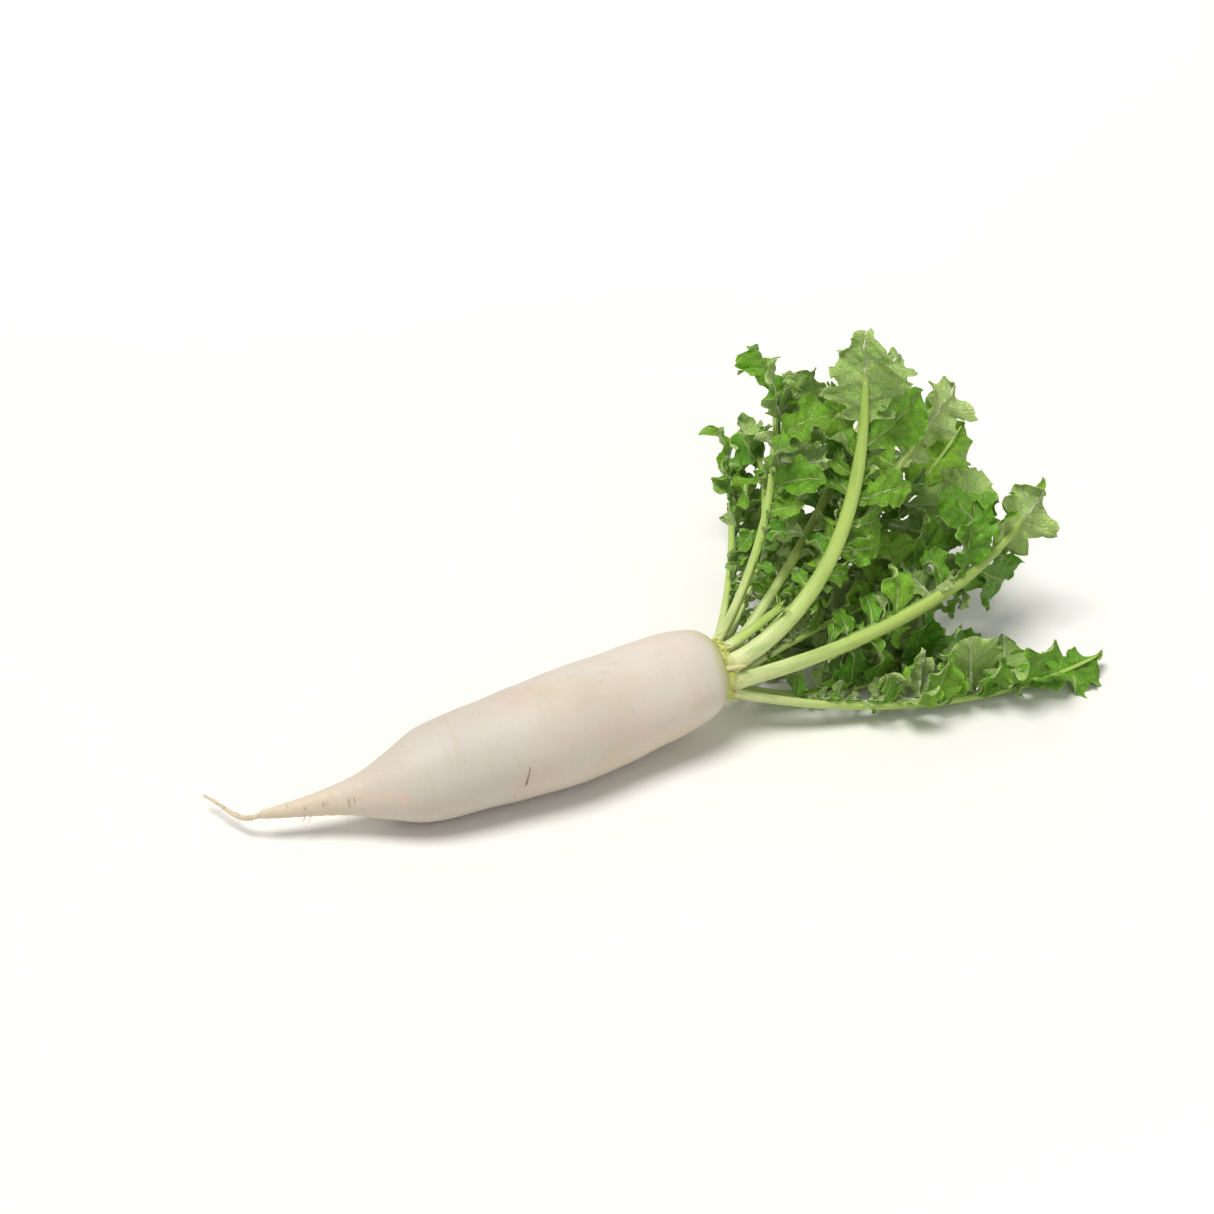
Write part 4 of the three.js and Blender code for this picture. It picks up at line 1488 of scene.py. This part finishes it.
@dataclass
class TornStalk(Stalk):
    """What a torn-off leaf left: a stump with a hollow, ragged end and a few curly fibres."""

    rings: int = 26
    wall: float = 0.8
    hollow: float = 5.5
    ragged: float = 5.0
    fibres: int = 5
    fibre_draws: int = 97

    def hollow_out(self, piece: bpy.types.Object, way: np.ndarray) -> None:
        """Insets the far end and pushes it in.

        Args:
            piece: The stump.
            way: The way the stump points at its end.
        """
        ahead = [polygon.center @ Vector(way) for polygon in piece.data.polygons]
        open_faces(piece)
        bpy.ops.object.mode_set(mode="OBJECT")
        piece.data.polygons[int(np.argmax(ahead))].select = True
        bpy.ops.object.mode_set(mode="EDIT")
        bpy.ops.mesh.inset(thickness=self.wall * MM)
        step = tuple(-way * self.hollow * MM)
        bpy.ops.mesh.extrude_region_move(TRANSFORM_OT_translate={"value": step})
        bpy.ops.transform.resize(value=(0.75, 0.75, 0.75))
        bpy.ops.object.mode_set(mode="OBJECT")

    def tear(self, piece: bpy.types.Object, at: Frame) -> None:
        """Pulls the rim of the far end into slivers of uneven length, bent a little outwards.

        Args:
            piece: The stump.
            at: The place and directions at its far end.
        """
        places = vertex_places(piece) / MM
        spoke = places - at.place
        ahead = spoke @ at.way
        sideways, upward = spoke @ at.side, spoke @ at.face
        angle = np.arctan2(upward, sideways)
        out = np.hypot(sideways, upward)
        near = smooth(-8.0, 0.5, ahead) * smooth(1.0, 2.6, out)
        slivers = 0.55 * np.sin(3 * angle + 0.7) + 0.45 * np.abs(np.sin(5.5 * angle))
        slivers = slivers + 0.35 * np.sin(11 * angle)
        shift = self.ragged * near * (slivers - 0.35)
        spread = 0.25 * near * np.maximum(slivers, 0)
        places += at.way * shift[:, None]
        places += (at.side * sideways[:, None] + at.face * upward[:, None]) * spread[:, None]
        set_places(piece, places * MM)

    def fibre(self, n: int, at: Frame) -> bpy.types.Object:
        """A fibre that was pulled out of the stump and curled up.

        Args:
            n: The fibre's number.
            at: The place and directions at the stump's end.

        Returns:
            The closed piece.
        """
        draws = [chance(self.fibre_draws, n, purpose) for purpose in range(6)]
        angle = 2 * math.pi * (n + draws[0]) / self.fibres
        spoke = at.side * math.cos(angle) + at.face * math.sin(angle) * STALK_FLATNESS
        start = at.place + spoke * 2.6 - at.way * 2.0
        length, curl = mix(8, 16, draws[1]), mix(3.0, 7.5, draws[2])
        share = np.linspace(0, 1, 28)[:, None]
        bow = np.sin(curl * share) / curl, (1 - np.cos(curl * share)) / curl
        lean = unit(at.way * mix(0.4, 1.0, draws[3]) + spoke * 0.6)
        over = unit(np.cross(lean, spoke) * mix(-1, 1, draws[4]) + spoke * 0.5)
        places = start + length * (lean * (bow[0] * 1.4 + 0.35 * share) + over * bow[1])
        half = mix(0.20, 0.34, draws[5]) * (1 - 0.75 * share[:, 0])
        stations = thread_stations(places, half)
        return draw_out("fibre", round_section(6), stations, pointed=True)

    def build(self, material: bpy.types.Material) -> bpy.types.Object:
        """Makes the stump and puts it in place of its solid.

        Args:
            material: The stalks' finish.

        Returns:
            The finished piece.
        """
        at = self.plant.frame(self.end, flowing_line=True)
        stump = draw_out(self.name, self.section(), self.stations(), pointed=False)
        self.hollow_out(stump, at.way)
        self.tear(stump, at)
        piece = join_pieces([stump, *(self.fibre(n, at) for n in range(self.fibres))], self.name)
        self.keep_grain(piece)
        piece.data.materials.clear()
        piece.data.materials.append(material)
        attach(piece, BODY)
        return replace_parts(piece, self.node)


class Neighbours:
    """The surfaces that have found their place, against which each new lobe is tried."""

    def __init__(self) -> None:
        """Starts with none."""
        self.grown: list[tuple[int, BVHTree]] = []

    def add(self, number: int, points: np.ndarray, faces: Sequence[Sequence[int]]) -> None:
        """Adds a surface, in millimetres, that belongs to a leaf."""
        self.grown.append((number, BVHTree.FromPolygons(points.tolist(), faces)))

    def add_piece(self, number: int, piece: bpy.types.Object) -> None:
        """Adds a finished piece that belongs to a leaf."""
        faces = [list(face.vertices) for face in piece.data.polygons]
        self.add(number, vertex_places(piece) / MM, faces)

    def crossings(self, number: int, points: np.ndarray, faces: Sequence[Sequence[int]]) -> int:
        """How many pairs of triangles of a surface and of all other leaves cross.

        Args:
            number: The leaf that the surface belongs to.
            points: The surface's points, in millimetres.
            faces: Its faces.

        Returns:
            The number of pairs.
        """
        tree = BVHTree.FromPolygons(points.tolist(), faces)
        return sum(len(other.overlap(tree)) for owner, other in self.grown if owner != number)


@dataclass
class Blade:
    """A leaf's blade: the strip on the stalk, the leaflets on its edges and the end lobe."""

    plant: Plant
    name: str
    node: str
    thickness: float = 0.42
    tooth_lean: float = 0.60
    tooth_depth: float = 0.30
    fine_teeth: float = 0.11
    lobed: float = 1.1
    small_leaflets: int = 22
    small_key: int = 60
    inner_leaflets: int = 14
    inner_lowest: float = 0.09
    vein_lean: float = 0.62
    tooth_shift: tuple[float, float] = (0.10, -0.06)
    root_inset: float = 0.72
    floor_gap: float = 0.12
    edge_curl: float = 2.5
    edge_ripple: float = 1.1
    pillow_height: float = 1.1
    lump_height: float = 0.60
    groove_depth: float = 0.55
    side_vein_height: float = 0.50
    side_vein_half: float = 0.60
    strip_rows: int = 150
    rib_height: float = 1.2
    rib_half: float = 0.85
    row_step: float = 1.05
    sizes: tuple[float, ...] = (1.0, 0.92, 0.84, 0.76, 0.68)
    small_sizes: tuple[float, ...] = (1.0, 0.7)
    places: list[np.ndarray] = field(default_factory=list)
    faces: list[list[int]] = field(default_factory=list)
    slots: list[int] = field(default_factory=list)
    veins: list[np.ndarray] = field(default_factory=list)
    cloth: list[np.ndarray] = field(default_factory=list)
    growth: list[np.ndarray] = field(default_factory=list)

    def margin(self, lobe: Lobe, share: np.ndarray, across: np.ndarray) -> np.ndarray:
        """Half a lobe's width with round-shouldered teeth that lean to the tip.

        Args:
            lobe: The lobe.
            share: The shares of its length.
            across: From -1 to 1, of which only the sign counts.

        Returns:
            Half the width, in millimetres.
        """
        body = swelling(share, LEAFLET_LEAN if lobe.side else LAST_LOBE_LEAN)
        shift = np.where(across > 0, *self.tooth_shift)
        wave = (share * lobe.rows / 2 + shift) % 1
        rise = np.clip(wave / self.tooth_lean, 0, 1) ** 0.7
        fall = np.clip((1 - wave) / (1 - self.tooth_lean), 0, 1) ** 0.85
        tooth = np.minimum(rise, fall)
        wander = 0.75 + 0.5 * np.sin(5.1 * share * lobe.rows / 3 + lobe.phase * 17 + (across > 0) * 2.1)
        small = (share * lobe.rows * 1.5 + lobe.phase + shift) % 1
        serration = self.fine_teeth * (small - 0.5) * body
        depth = self.tooth_depth * np.clip(wander, 0.45, 1.25)
        if not lobe.side:
            depth = depth * (1 + self.lobed * (1 - share) * smooth(0.05, 0.25, share))
        width = lobe.half * (body * (1 - depth * (1 - tooth)) + serration)
        return np.maximum(width, 0.3)

    def vein_phase(self, lobe: Lobe, share: np.ndarray, across: np.ndarray) -> np.ndarray:
        """A number that is a half past a whole one on each side vein, which ends in a tooth."""
        shift = np.where(across > 0, *self.tooth_shift)
        tip = share * lobe.rows / 2 + shift - (self.tooth_lean - 0.5)
        return tip + self.vein_lean * (1 - np.abs(across)) ** 1.25

    def relief(self, lobe: Lobe, share: np.ndarray, across: np.ndarray, width: np.ndarray) -> np.ndarray:
        """The crinkling of the upper face, in millimetres."""
        size = min(1.0, lobe.length / 34)
        x, y = share * lobe.length, across * width
        seed = lobe.phase * 40 + self.plant.number
        far = np.abs(across)
        slow, quick = (2 * math.pi * max(1.5, lobe.length / run) * share for run in (15.0, 6.5))
        curled = self.edge_curl * far**2.2 * np.sin(slow + 6.3 * seed + 1.9 * (across > 0))
        curled += self.edge_ripple * far**4 * np.sin(quick + 2.9 * seed + 1.1 * (across > 0))
        phase = self.vein_phase(lobe, share, across)
        pillow = np.sin(math.pi * (phase - 0.5)) ** 2 * np.clip(far * 3, 0, 1)
        lumps = np.sin(0.42 * x + seed) * np.sin(0.37 * y + 2.3 * seed)
        lumps = lumps + 0.7 * np.sin(0.9 * x - 0.7 * y + seed)
        groove = np.exp(-((y / 0.9) ** 2)) * (1 - 0.6 * share)
        rooted = smooth(0.0, 0.22, share) if lobe.side else smooth(0.0, 0.08, share)
        bumps = curled + self.pillow_height * pillow + self.lump_height * lumps - self.groove_depth * groove
        return size * rooted * bumps

    def ridge(self, lobe: Lobe, share: np.ndarray, across: np.ndarray, width: np.ndarray) -> np.ndarray:
        """How far the veins stand out of the lower face, in millimetres."""
        size = min(1.0, lobe.length / 30)
        y = across * width
        rib = self.rib_height * (1 - 0.85 * share) * np.exp(-((y / self.rib_half) ** 2))
        phase = self.vein_phase(lobe, share, across)
        off = np.abs((phase % 1) - 0.5) * lobe.pitch
        side = self.side_vein_height * np.exp(-((off / self.side_vein_half) ** 2)) * (1 - np.abs(across))
        return size * (rib + side)

    def add(
        self, upper: np.ndarray, lower: np.ndarray, veins: np.ndarray, cloth: np.ndarray, growth: np.ndarray
    ) -> None:
        """Adds a closed sheet with what is stored for each of its points."""
        start = sum(len(part) for part in self.places)
        points, faces, top = closed_sheet(upper, lower)
        self.places.append(points)
        self.faces += [[start + k for k in face] for face in faces]
        self.slots += [0] * top + [1] * (len(faces) - top)
        for store, values in ((self.veins, veins), (self.cloth, cloth), (self.growth, growth)):
            flat = values.reshape(-1, 3)
            store.append(np.concatenate([flat, flat]))

    def sheet(self, lobe: Lobe) -> tuple[np.ndarray, ...]:
        """The two faces of a leaflet or of the end lobe, with what is stored for their points.

        Args:
            lobe: The lobe.

        Returns:
            The upper and the lower points, the veins, the cloth and the growth.
        """
        rows = int(np.clip(lobe.length / self.row_step, 9, 60))
        columns = int(np.clip(lobe.half / 1.15, 3, 17))
        share = np.linspace(0, 1, rows + 1)
        across = np.linspace(-1, 1, 2 * columns + 1)
        across = np.sign(across) * np.abs(across) ** 1.25
        share, across = np.meshgrid(share, across, indexing="ij")
        width = self.margin(lobe, share, across)
        points = self.plant.points(lobe, share, across, width)
        if lobe.side:
            points = self.rooted(lobe, share, across, points)
        else:
            points = self.end_rooted(share, across, points)
        normal = unit(np.cross(np.gradient(points, axis=0), np.gradient(points, axis=1)))
        normal = normal * (-lobe.side if lobe.side else -1)
        points = points + normal * self.relief(lobe, share, across, width)[..., None]
        edge = 1 - 0.45 * np.abs(across) ** 8
        under = points - normal * (self.thickness * edge + self.ridge(lobe, share, across, width))[..., None]
        floor = GROUND + self.floor_gap
        points[..., 2] = np.maximum(points[..., 2], floor + 0.2)
        under[..., 2] = np.maximum(under[..., 2], floor)
        phase = self.vein_phase(lobe, share, across)
        veins = np.stack([phase, across, np.full_like(share, lobe.pitch)], axis=-1)
        seed = 30.0 * lobe.key + 7.0 * self.plant.number
        cloth = np.stack([share * lobe.length, across * width, np.full_like(share, seed)], axis=-1)
        age = np.clip(chance(self.plant.number, lobe.key, 21) * 0.9 + 0.25 * (self.plant.number > 6), 0, 1)
        growth = np.stack([share, np.full_like(share, age), np.abs(across)], axis=-1)
        layers = (points, under, veins, cloth, growth)
        return layers if lobe.side < 0 else tuple(layer[:, ::-1] for layer in layers)

    def add_lobe(self, lobe: Lobe, neighbours: Neighbours, sizes: Sequence[float], needed: bool) -> None:
        """Adds a lobe at the first size at which it crosses no other leaf.

        Args:
            lobe: The lobe as planned.
            neighbours: What has found its place so far.
            sizes: The sizes that are tried, as shares of the plan's.
            needed: Whether it is added, at the size that crosses least, if none is clear.
        """
        tried = []
        for size in sizes:
            length = lobe.length * size if lobe.side else lobe.length
            layers = self.sheet(replace(lobe, half=lobe.half * size, length=length))
            points, faces, _ = closed_sheet(*layers[:2])
            crossed = neighbours.crossings(self.plant.number, points, faces)
            tried.append((crossed, layers, points, faces))
            if not crossed:
                break
        crossed, layers, points, faces = min(tried, key=lambda one: one[0])
        if needed or not crossed:
            self.add(*layers)
            neighbours.add(self.plant.number, points, faces)

    def scattered(self) -> list[Lobe]:
        """Sets the small crumpled leaflets that grow between the large ones.

        Returns:
            The small leaflets.
        """
        made = []
        inner = self.plant.leaf.ring < OUTER_RING
        count = self.small_leaflets + (self.inner_leaflets if inner else 0)
        lowest = self.inner_lowest if inner else LEAFY_FROM - 0.05
        for n in range(count):
            draws = [chance(self.plant.number, self.small_key + n, purpose) for purpose in range(10)]
            at = mix(lowest, LAST_LOBE_FROM, (n + 1.6 * draws[1]) / (count + 0.6))
            length = mix(6.0, 21.0, draws[2] ** 1.4) * (0.60 + 0.75 * at)
            made.append(Lobe(
                key=self.small_key + n,
                side=-1 if n % 2 else 1,
                base=(at - 0.009, at, at + 0.009),
                length=length,
                half=length * mix(0.26, 0.44, draws[3]),
                forward=mix(0, 70, draws[4]),
                rise=mix(-60, 100, draws[5]),
                curl=mix(20, 170, draws[6]),
                turn=mix(-110, 110, draws[7]),
                fold=mix(5, 50, draws[8]),
                phase=draws[9],
                rows=3 if length < 9 else 5,
            ))
        return made

    def rooted(self, lobe: Lobe, share: np.ndarray, across: np.ndarray, points: np.ndarray) -> np.ndarray:
        """Joins a leaflet's base to the strip's edge, a little inside it."""
        base = np.interp(across, [-1, 0, 1], lobe.base)
        foot = self.plant.strip(base, np.full_like(base, lobe.side * self.root_inset), fine=True).place
        near = smooth(0, 1, share * lobe.rows)[..., None]
        return foot * (1 - near) + points * near

    def end_rooted(self, share: np.ndarray, across: np.ndarray, points: np.ndarray) -> np.ndarray:
        """Joins the end lobe's base to the strip's end."""
        foot = self.plant.strip(LAST_LOBE_FROM + 0.25 * share, across, fine=True).place
        near = smooth(0, 1, share * (2 * LAST_LOBE_TEETH + 1))[..., None]
        return foot * (1 - near) + points * near

    def add_strip(self) -> None:
        """Adds the narrow green wings along the stalk between the leaflets."""
        share = np.linspace(LEAFY_FROM - 0.015, LAST_LOBE_FROM + 0.02, self.strip_rows)
        across = np.linspace(-1, 1, 9)
        share, across = np.meshgrid(share, across, indexing="ij")
        half = self.plant.leaf.stalk_half(share)
        at = self.plant.frame(share, flowing_line=True)
        seed = self.plant.number * 1.7
        ragged = 1 + 0.16 * np.sin(share * 150 + seed) * np.sin(share * 67 + 2 * seed + (across > 0))
        ends = smooth(LEAFY_FROM - 0.016, LEAFY_FROM + 0.02, share)
        sideways = (half * 0.86 + 0.5 * ends * ragged) * across
        flat = half * STALK_FLATNESS * STALK_TOP
        height = flat + (-0.12 + 0.62 * across**2 * ends + 0.12 * np.sin(share * 210 + seed) * across**2)
        upper = at.place + at.side * sideways[..., None] + at.face * height[..., None]
        lower = upper - at.face * 0.5
        zero = np.zeros_like(share)
        veins = np.stack([zero, across, zero + 9.0], axis=-1)
        cloth = np.stack([share * self.plant.leaf.length, across * half * 0.35, zero + seed], axis=-1)
        growth = np.stack([0.2 + zero, 0.5 + zero, np.abs(across) * 0.9], axis=-1)
        parts = [part[:, ::-1] for part in (upper, lower, veins, cloth, growth)]
        self.add(*parts)

    def lay_out(self, neighbours: Neighbours) -> None:
        """Sets the wings, the leaflets and the end lobe among the other leaves."""
        assert self.plant.end_lobe is not None
        self.add_strip()
        for lobe in (self.plant.end_lobe, *self.plant.leaflets):
            self.add_lobe(lobe, neighbours, self.sizes, needed=True)

    def scatter(self, neighbours: Neighbours) -> None:
        """Sets the small leaflets where there is room for them."""
        for lobe in self.scattered():
            self.add_lobe(lobe, neighbours, self.small_sizes, needed=False)

    def build(self, upper: bpy.types.Material, lower: bpy.types.Material) -> bpy.types.Object:
        """Makes the blade and puts it in place of its solid.

        Args:
            upper: The upper face's finish.
            lower: The lower face's finish.

        Returns:
            The finished piece.
        """
        piece = meshed(self.name, np.concatenate(self.places), self.faces)
        piece.data.materials.append(upper)
        piece.data.materials.append(lower)
        piece.data.polygons.foreach_set("material_index", self.slots)
        piece.data.update()
        for name, values in (("vein", self.veins), ("cloth", self.cloth), ("growth", self.growth)):
            keep_vectors(piece, name, np.concatenate(values))
        take_up(piece)
        bpy.ops.object.shade_smooth_by_angle(angle=math.radians(65))
        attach(piece, BODY)
        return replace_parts(piece, self.node)


@dataclass(frozen=True)
class SheathFinish:
    """The dry remains of old leaf bases: yellow-green below, brown at their torn edges."""

    fresh: Colour = hex_colour("b9c670")
    straw: Colour = hex_colour("d5cb96")
    brown: Colour = hex_colour("8a7040")

    def material(self) -> bpy.types.Material:
        """Makes the material, which reads the height above the crown from the stored growth."""
        graph = Graph("old_leaf_base")
        share, dried, _ = graph.parts(graph.stored("growth"))
        streaks = graph.noise(graph.places((160, 900, 900)), 1.0, 3.0, 0.6, 0.4)
        spots = graph.noise(graph.places((500, 500, 500)), 1.0, 3.0)
        colour = graph.blend((streaks + dried * 0.4).step(0.50, 0.86), self.fresh, self.straw)
        torn = (share + (spots - 0.5) * 0.7).step(0.55, 1.1)
        colour = graph.blend(torn * 0.75, colour, self.brown)
        graph.set("Base Color", colour)
        graph.set("Roughness", spots * 0.2 + 0.5)
        graph.relief(streaks, 0.0004)
        return graph.material


@dataclass
class CrownDressing:
    """What old leaves have left on the crown: ragged bases, short stumps and stray fibres."""

    bases: int = 17
    radius: float = 16.6
    foot_x: float = 139.6
    stumps: int = 9
    fibres: int = 12
    base_draws: int = 90
    stump_draws: int = 93
    fibre_draws: int = 95
    thickness: float = 0.9

    def base(self, n: int) -> bpy.types.Object:
        """One old leaf base: a low curved flap with a ragged edge.

        Args:
            n: The flap's number.

        Returns:
            The closed piece.
        """
        draws = [chance(self.base_draws, n, purpose) for purpose in range(9)]
        middle = 2 * math.pi * (n + 0.7 * draws[0]) / self.bases
        width = mix(0.16, 0.34, draws[1])
        height = mix(2.4, 7.5, draws[2] ** 1.5)
        share, across = np.meshgrid(np.linspace(0, 1, 12), np.linspace(-1, 1, 21), indexing="ij")
        ragged = 1 + 0.20 * np.sin(across * 6 + 6 * draws[3]) + 0.16 * np.sin(across * 17 + 9 * draws[4])
        peak = mix(-0.5, 0.5, draws[8])
        rise = height * share * (1 - 0.8 * np.abs(across - peak) ** 1.3 / 1.5) * np.clip(ragged, 0.3, 2)
        angle = middle + width * across * (1 - 0.45 * share)
        out = self.radius - 0.4 + mix(-1.8, 1.4, draws[5]) * share**1.5
        out = out + 0.8 * np.sin(math.pi * share) * draws[6] + 0.5 * np.sin(across * 5 + 6 * draws[7]) * share
        y, z = CROWN[1] + out * np.sin(angle), CROWN[2] + out * np.cos(angle)
        outer = np.stack([self.foot_x + rise, y, z], axis=-1)
        spoke = np.stack([np.zeros_like(out), np.sin(angle), np.cos(angle)], axis=-1)
        thick = self.thickness * (1 - 0.75 * share) * (1 - 0.5 * np.abs(across) ** 3)
        points, faces, _ = closed_sheet(outer, outer - spoke * thick[..., None])
        piece = meshed("old_base", points, faces)
        flat = np.concatenate([share.ravel(), share.ravel()])
        keep_vectors(piece, "growth", np.stack([flat, flat * 0 + draws[4], flat * 0], axis=1))
        face_outwards(piece)
        bpy.ops.object.shade_smooth()
        return piece

    def stump(self, n: int) -> bpy.types.Object:
        """A short, shrunken stump of a small leaf, between the stalks.

        Args:
            n: The stump's number.

        Returns:
            The closed piece.
        """
        draws = [chance(self.stump_draws, n, purpose) for purpose in range(7)]
        angle = 2 * math.pi * (n + 0.5 + 0.4 * draws[0]) / self.stumps
        spoke = np.array([0.0, math.sin(angle), math.cos(angle)])
        length = mix(4.0, 11.0, draws[1])
        start = np.array([138.5, CROWN[1], CROWN[2]]) + spoke * mix(14.0, 16.4, draws[2])
        way = unit(np.array([1.0, 0, 0]) + spoke * mix(0.1, 0.5, draws[3]))
        share = np.linspace(0, 1, 9)
        bow = np.array([0.0, spoke[2], -spoke[1]]) * mix(-2.5, 2.5, draws[4])
        places = start + way * (length + 2.0) * share[:, None] + bow * (share**2)[:, None]
        half = mix(1.0, 1.9, draws[5]) * (1 - 0.45 * share) * (1 - 0.5 * share**8)
        made = draw_out("stump", round_section(12), thread_stations(places, half), pointed=False)
        ahead = np.clip(((vertex_places(made) / MM - start) @ way) / (length + 2.0), 0, 1)
        keep_vectors(made, "growth", np.stack([ahead**3, ahead * 0 + draws[6], ahead * 0], axis=1))
        return made

    def fibre(self, n: int) -> bpy.types.Object:
        """A thin stray fibre that curls out of the crown.

        Args:
            n: The fibre's number.

        Returns:
            The closed piece.
        """
        draws = [chance(self.fibre_draws, n, purpose) for purpose in range(7)]
        angle = 2 * math.pi * draws[0]
        length = mix(6, 15, draws[1])
        spoke = np.array([0.0, math.sin(angle), math.cos(angle)])
        round_it = np.array([0.0, math.cos(angle), -math.sin(angle)])
        share = np.linspace(0, 1, 16)[:, None]
        bow = np.sin(math.pi * share * mix(0.6, 1.3, draws[2]))
        start = np.array([140.5, CROWN[1], CROWN[2]]) + spoke * (self.radius - 0.8)
        ahead = np.array([mix(0.2, 1.0, draws[3]), 0, 0])
        places = start + length * (
            ahead * share + spoke * bow * mix(0.15, 0.4, draws[4]) + round_it * bow * mix(-0.6, 0.6, draws[5])
        )
        half = mix(0.14, 0.22, draws[6]) * (1 - 0.7 * share[:, 0])
        made = draw_out("fibre", round_section(6), thread_stations(places, half), pointed=True)
        keep_vectors(made, "growth", np.full((len(made.data.vertices), 3), 0.35))
        return made

    def build(self) -> bpy.types.Object:
        """Makes the crown's dressing.

        Returns:
            The finished piece.
        """
        parts = [self.base(n) for n in range(self.bases)]
        parts += [self.stump(n) for n in range(self.stumps)]
        parts += [self.fibre(n) for n in range(self.fibres)]
        dressing = join_pieces(parts, "crown_old_bases")
        dressing.data.materials.clear()
        dressing.data.materials.append(SheathFinish().material())
        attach(dressing, BODY)
        return dressing


# ---- The studio ---------------------------------------------------------------------------


@dataclass
class Studio:
    """The pale floor, the soft light and the camera."""

    target: Triple = (0.0969, 0.0668, 0.0534)
    azimuth: float = -22.652
    elevation: float = 35.557
    distance: float = 1.5
    lens: float = 80.0
    sun_energy: float = 2.75
    sun_angle: float = 0.5
    sun_from: Triple = (-0.50, 0.04, 1.75)
    sky_strength: float = 0.32
    floor_colour: Colour = hex_colour("ebeae6")

    def camera(self) -> None:
        """Places the camera and makes it the scene's own."""
        a, e = math.radians(self.azimuth), math.radians(self.elevation)
        back = Vector((math.sin(a) * math.cos(e), -math.cos(a) * math.cos(e), math.sin(e)))
        lens = bpy.data.cameras.new("camera")
        lens.lens = self.lens
        lens.sensor_width = 36.0
        lens.clip_start, lens.clip_end = 0.05, 50.0
        camera = placed("camera", lens)
        camera.location = Vector(self.target) + back * self.distance
        camera.rotation_euler = back.to_track_quat("Z", "Y").to_euler()
        bpy.context.scene.camera = camera

    def floor(self) -> None:
        """Lays a wide pale floor under the radish."""
        clear_selection()
        bpy.ops.mesh.primitive_grid_add(x_subdivisions=8, y_subdivisions=8, size=40, location=(0, 0, -0.0002))
        floor = bpy.context.object
        floor.name = "floor"
        graph = Graph("floor_paper")
        tint = graph.noise(graph.places((3, 3, 3)), 1.0, 2.0)
        graph.set("Base Color", graph.blend(tint * 0.15, self.floor_colour, hex_colour("e5e4e0")))
        graph.set("Roughness", 0.9)
        graph.set("Specular IOR Level", 0.1)
        floor.data.materials.append(graph.material)

    def lamp(self, name: str, place: Triple, size: float, power: float, colour: Colour) -> None:
        """Hangs a large soft lamp that points at the radish.

        Args:
            name: The lamp's name.
            place: Where it hangs, in metres.
            size: The side of its square.
            power: Its power in watts.
            colour: Its colour.
        """
        light = bpy.data.lights.new(name, "AREA")
        light.shape = "SQUARE"
        light.size = size
        light.energy = power
        light.color = colour
        lamp = placed(name, light)
        lamp.location = place
        aim = Vector(place) - Vector(self.target)
        lamp.rotation_euler = aim.to_track_quat("Z", "Y").to_euler()

    def window(self) -> None:
        """Adds the main light: a broad, soft one from above, as even as a skylight's."""
        light = bpy.data.lights.new("key", "SUN")
        light.energy = self.sun_energy
        light.angle = self.sun_angle
        light.color = (1.0, 0.98, 0.945)
        lamp = placed("key", light)
        lamp.rotation_euler = Vector(self.sun_from).to_track_quat("Z", "Y").to_euler()

    def build(self) -> None:
        """Sets up the camera, the floor, the main light, two lamps and the sky light."""
        self.camera()
        self.floor()
        self.window()
        self.lamp("front", (0.3, -1.7, 1.2), 1.2, 6.5, (1.0, 0.99, 0.97))
        self.lamp("back", (0.4, 1.8, 1.3), 1.4, 7.0, (1.0, 1.0, 1.0))
        world = bpy.data.worlds.new("soft_sky")
        bpy.context.scene.world = world
        world.use_nodes = True
        sky = world.node_tree.nodes["Background"]
        sky.inputs[0].default_value = (1.0, 0.995, 0.98, 1.0)
        sky.inputs[1].default_value = self.sky_strength
        bpy.context.scene.view_settings.view_transform = "Standard"


def main() -> None:
    """Builds the radish piece by piece and reports each."""
    logging.basicConfig(level=logging.INFO, format="%(name)s: %(message)s")
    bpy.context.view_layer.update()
    Studio().build()
    root = Taproot().build()
    LOG.info("%s: %d faces", root.name, len(root.data.polygons))
    dressing = CrownDressing().build()
    LOG.info("%s: %d faces", dressing.name, len(dressing.data.polygons))
    stalk_look = StalkFinish().material()
    upper, lower = UPPER_FACE.material(), LOWER_FACE.material()
    torn = TornStalk(Plant(TORN, len(LEAVES)), "stalk_torn_off", "torn_stalk").build(stalk_look)
    LOG.info("%s: %d faces", torn.name, len(torn.data.polygons))
    neighbours = Neighbours()
    neighbours.add_piece(NO_LEAF, root)
    neighbours.add_piece(NO_LEAF, torn)
    blades: list[Blade] = []
    for plant in grow_leaves():
        label = f"{plant.number + 1:02d}"
        stalk = Stalk(plant, f"leaf_{label}_stalk", f"stalk_{label}").build(stalk_look)
        LOG.info("%s: %d faces", stalk.name, len(stalk.data.polygons))
        neighbours.add_piece(plant.number, stalk)
        blades.append(Blade(plant, f"leaf_{label}_blade", f"blade_{label}"))
    for blade in blades:
        blade.lay_out(neighbours)
    for blade in blades:
        blade.scatter(neighbours)
    for blade in blades:
        piece = blade.build(upper, lower)
        LOG.info("%s: %d faces", piece.name, len(piece.data.polygons))
    bpy.context.view_layer.update()


if __name__ == "__main__":
    main()
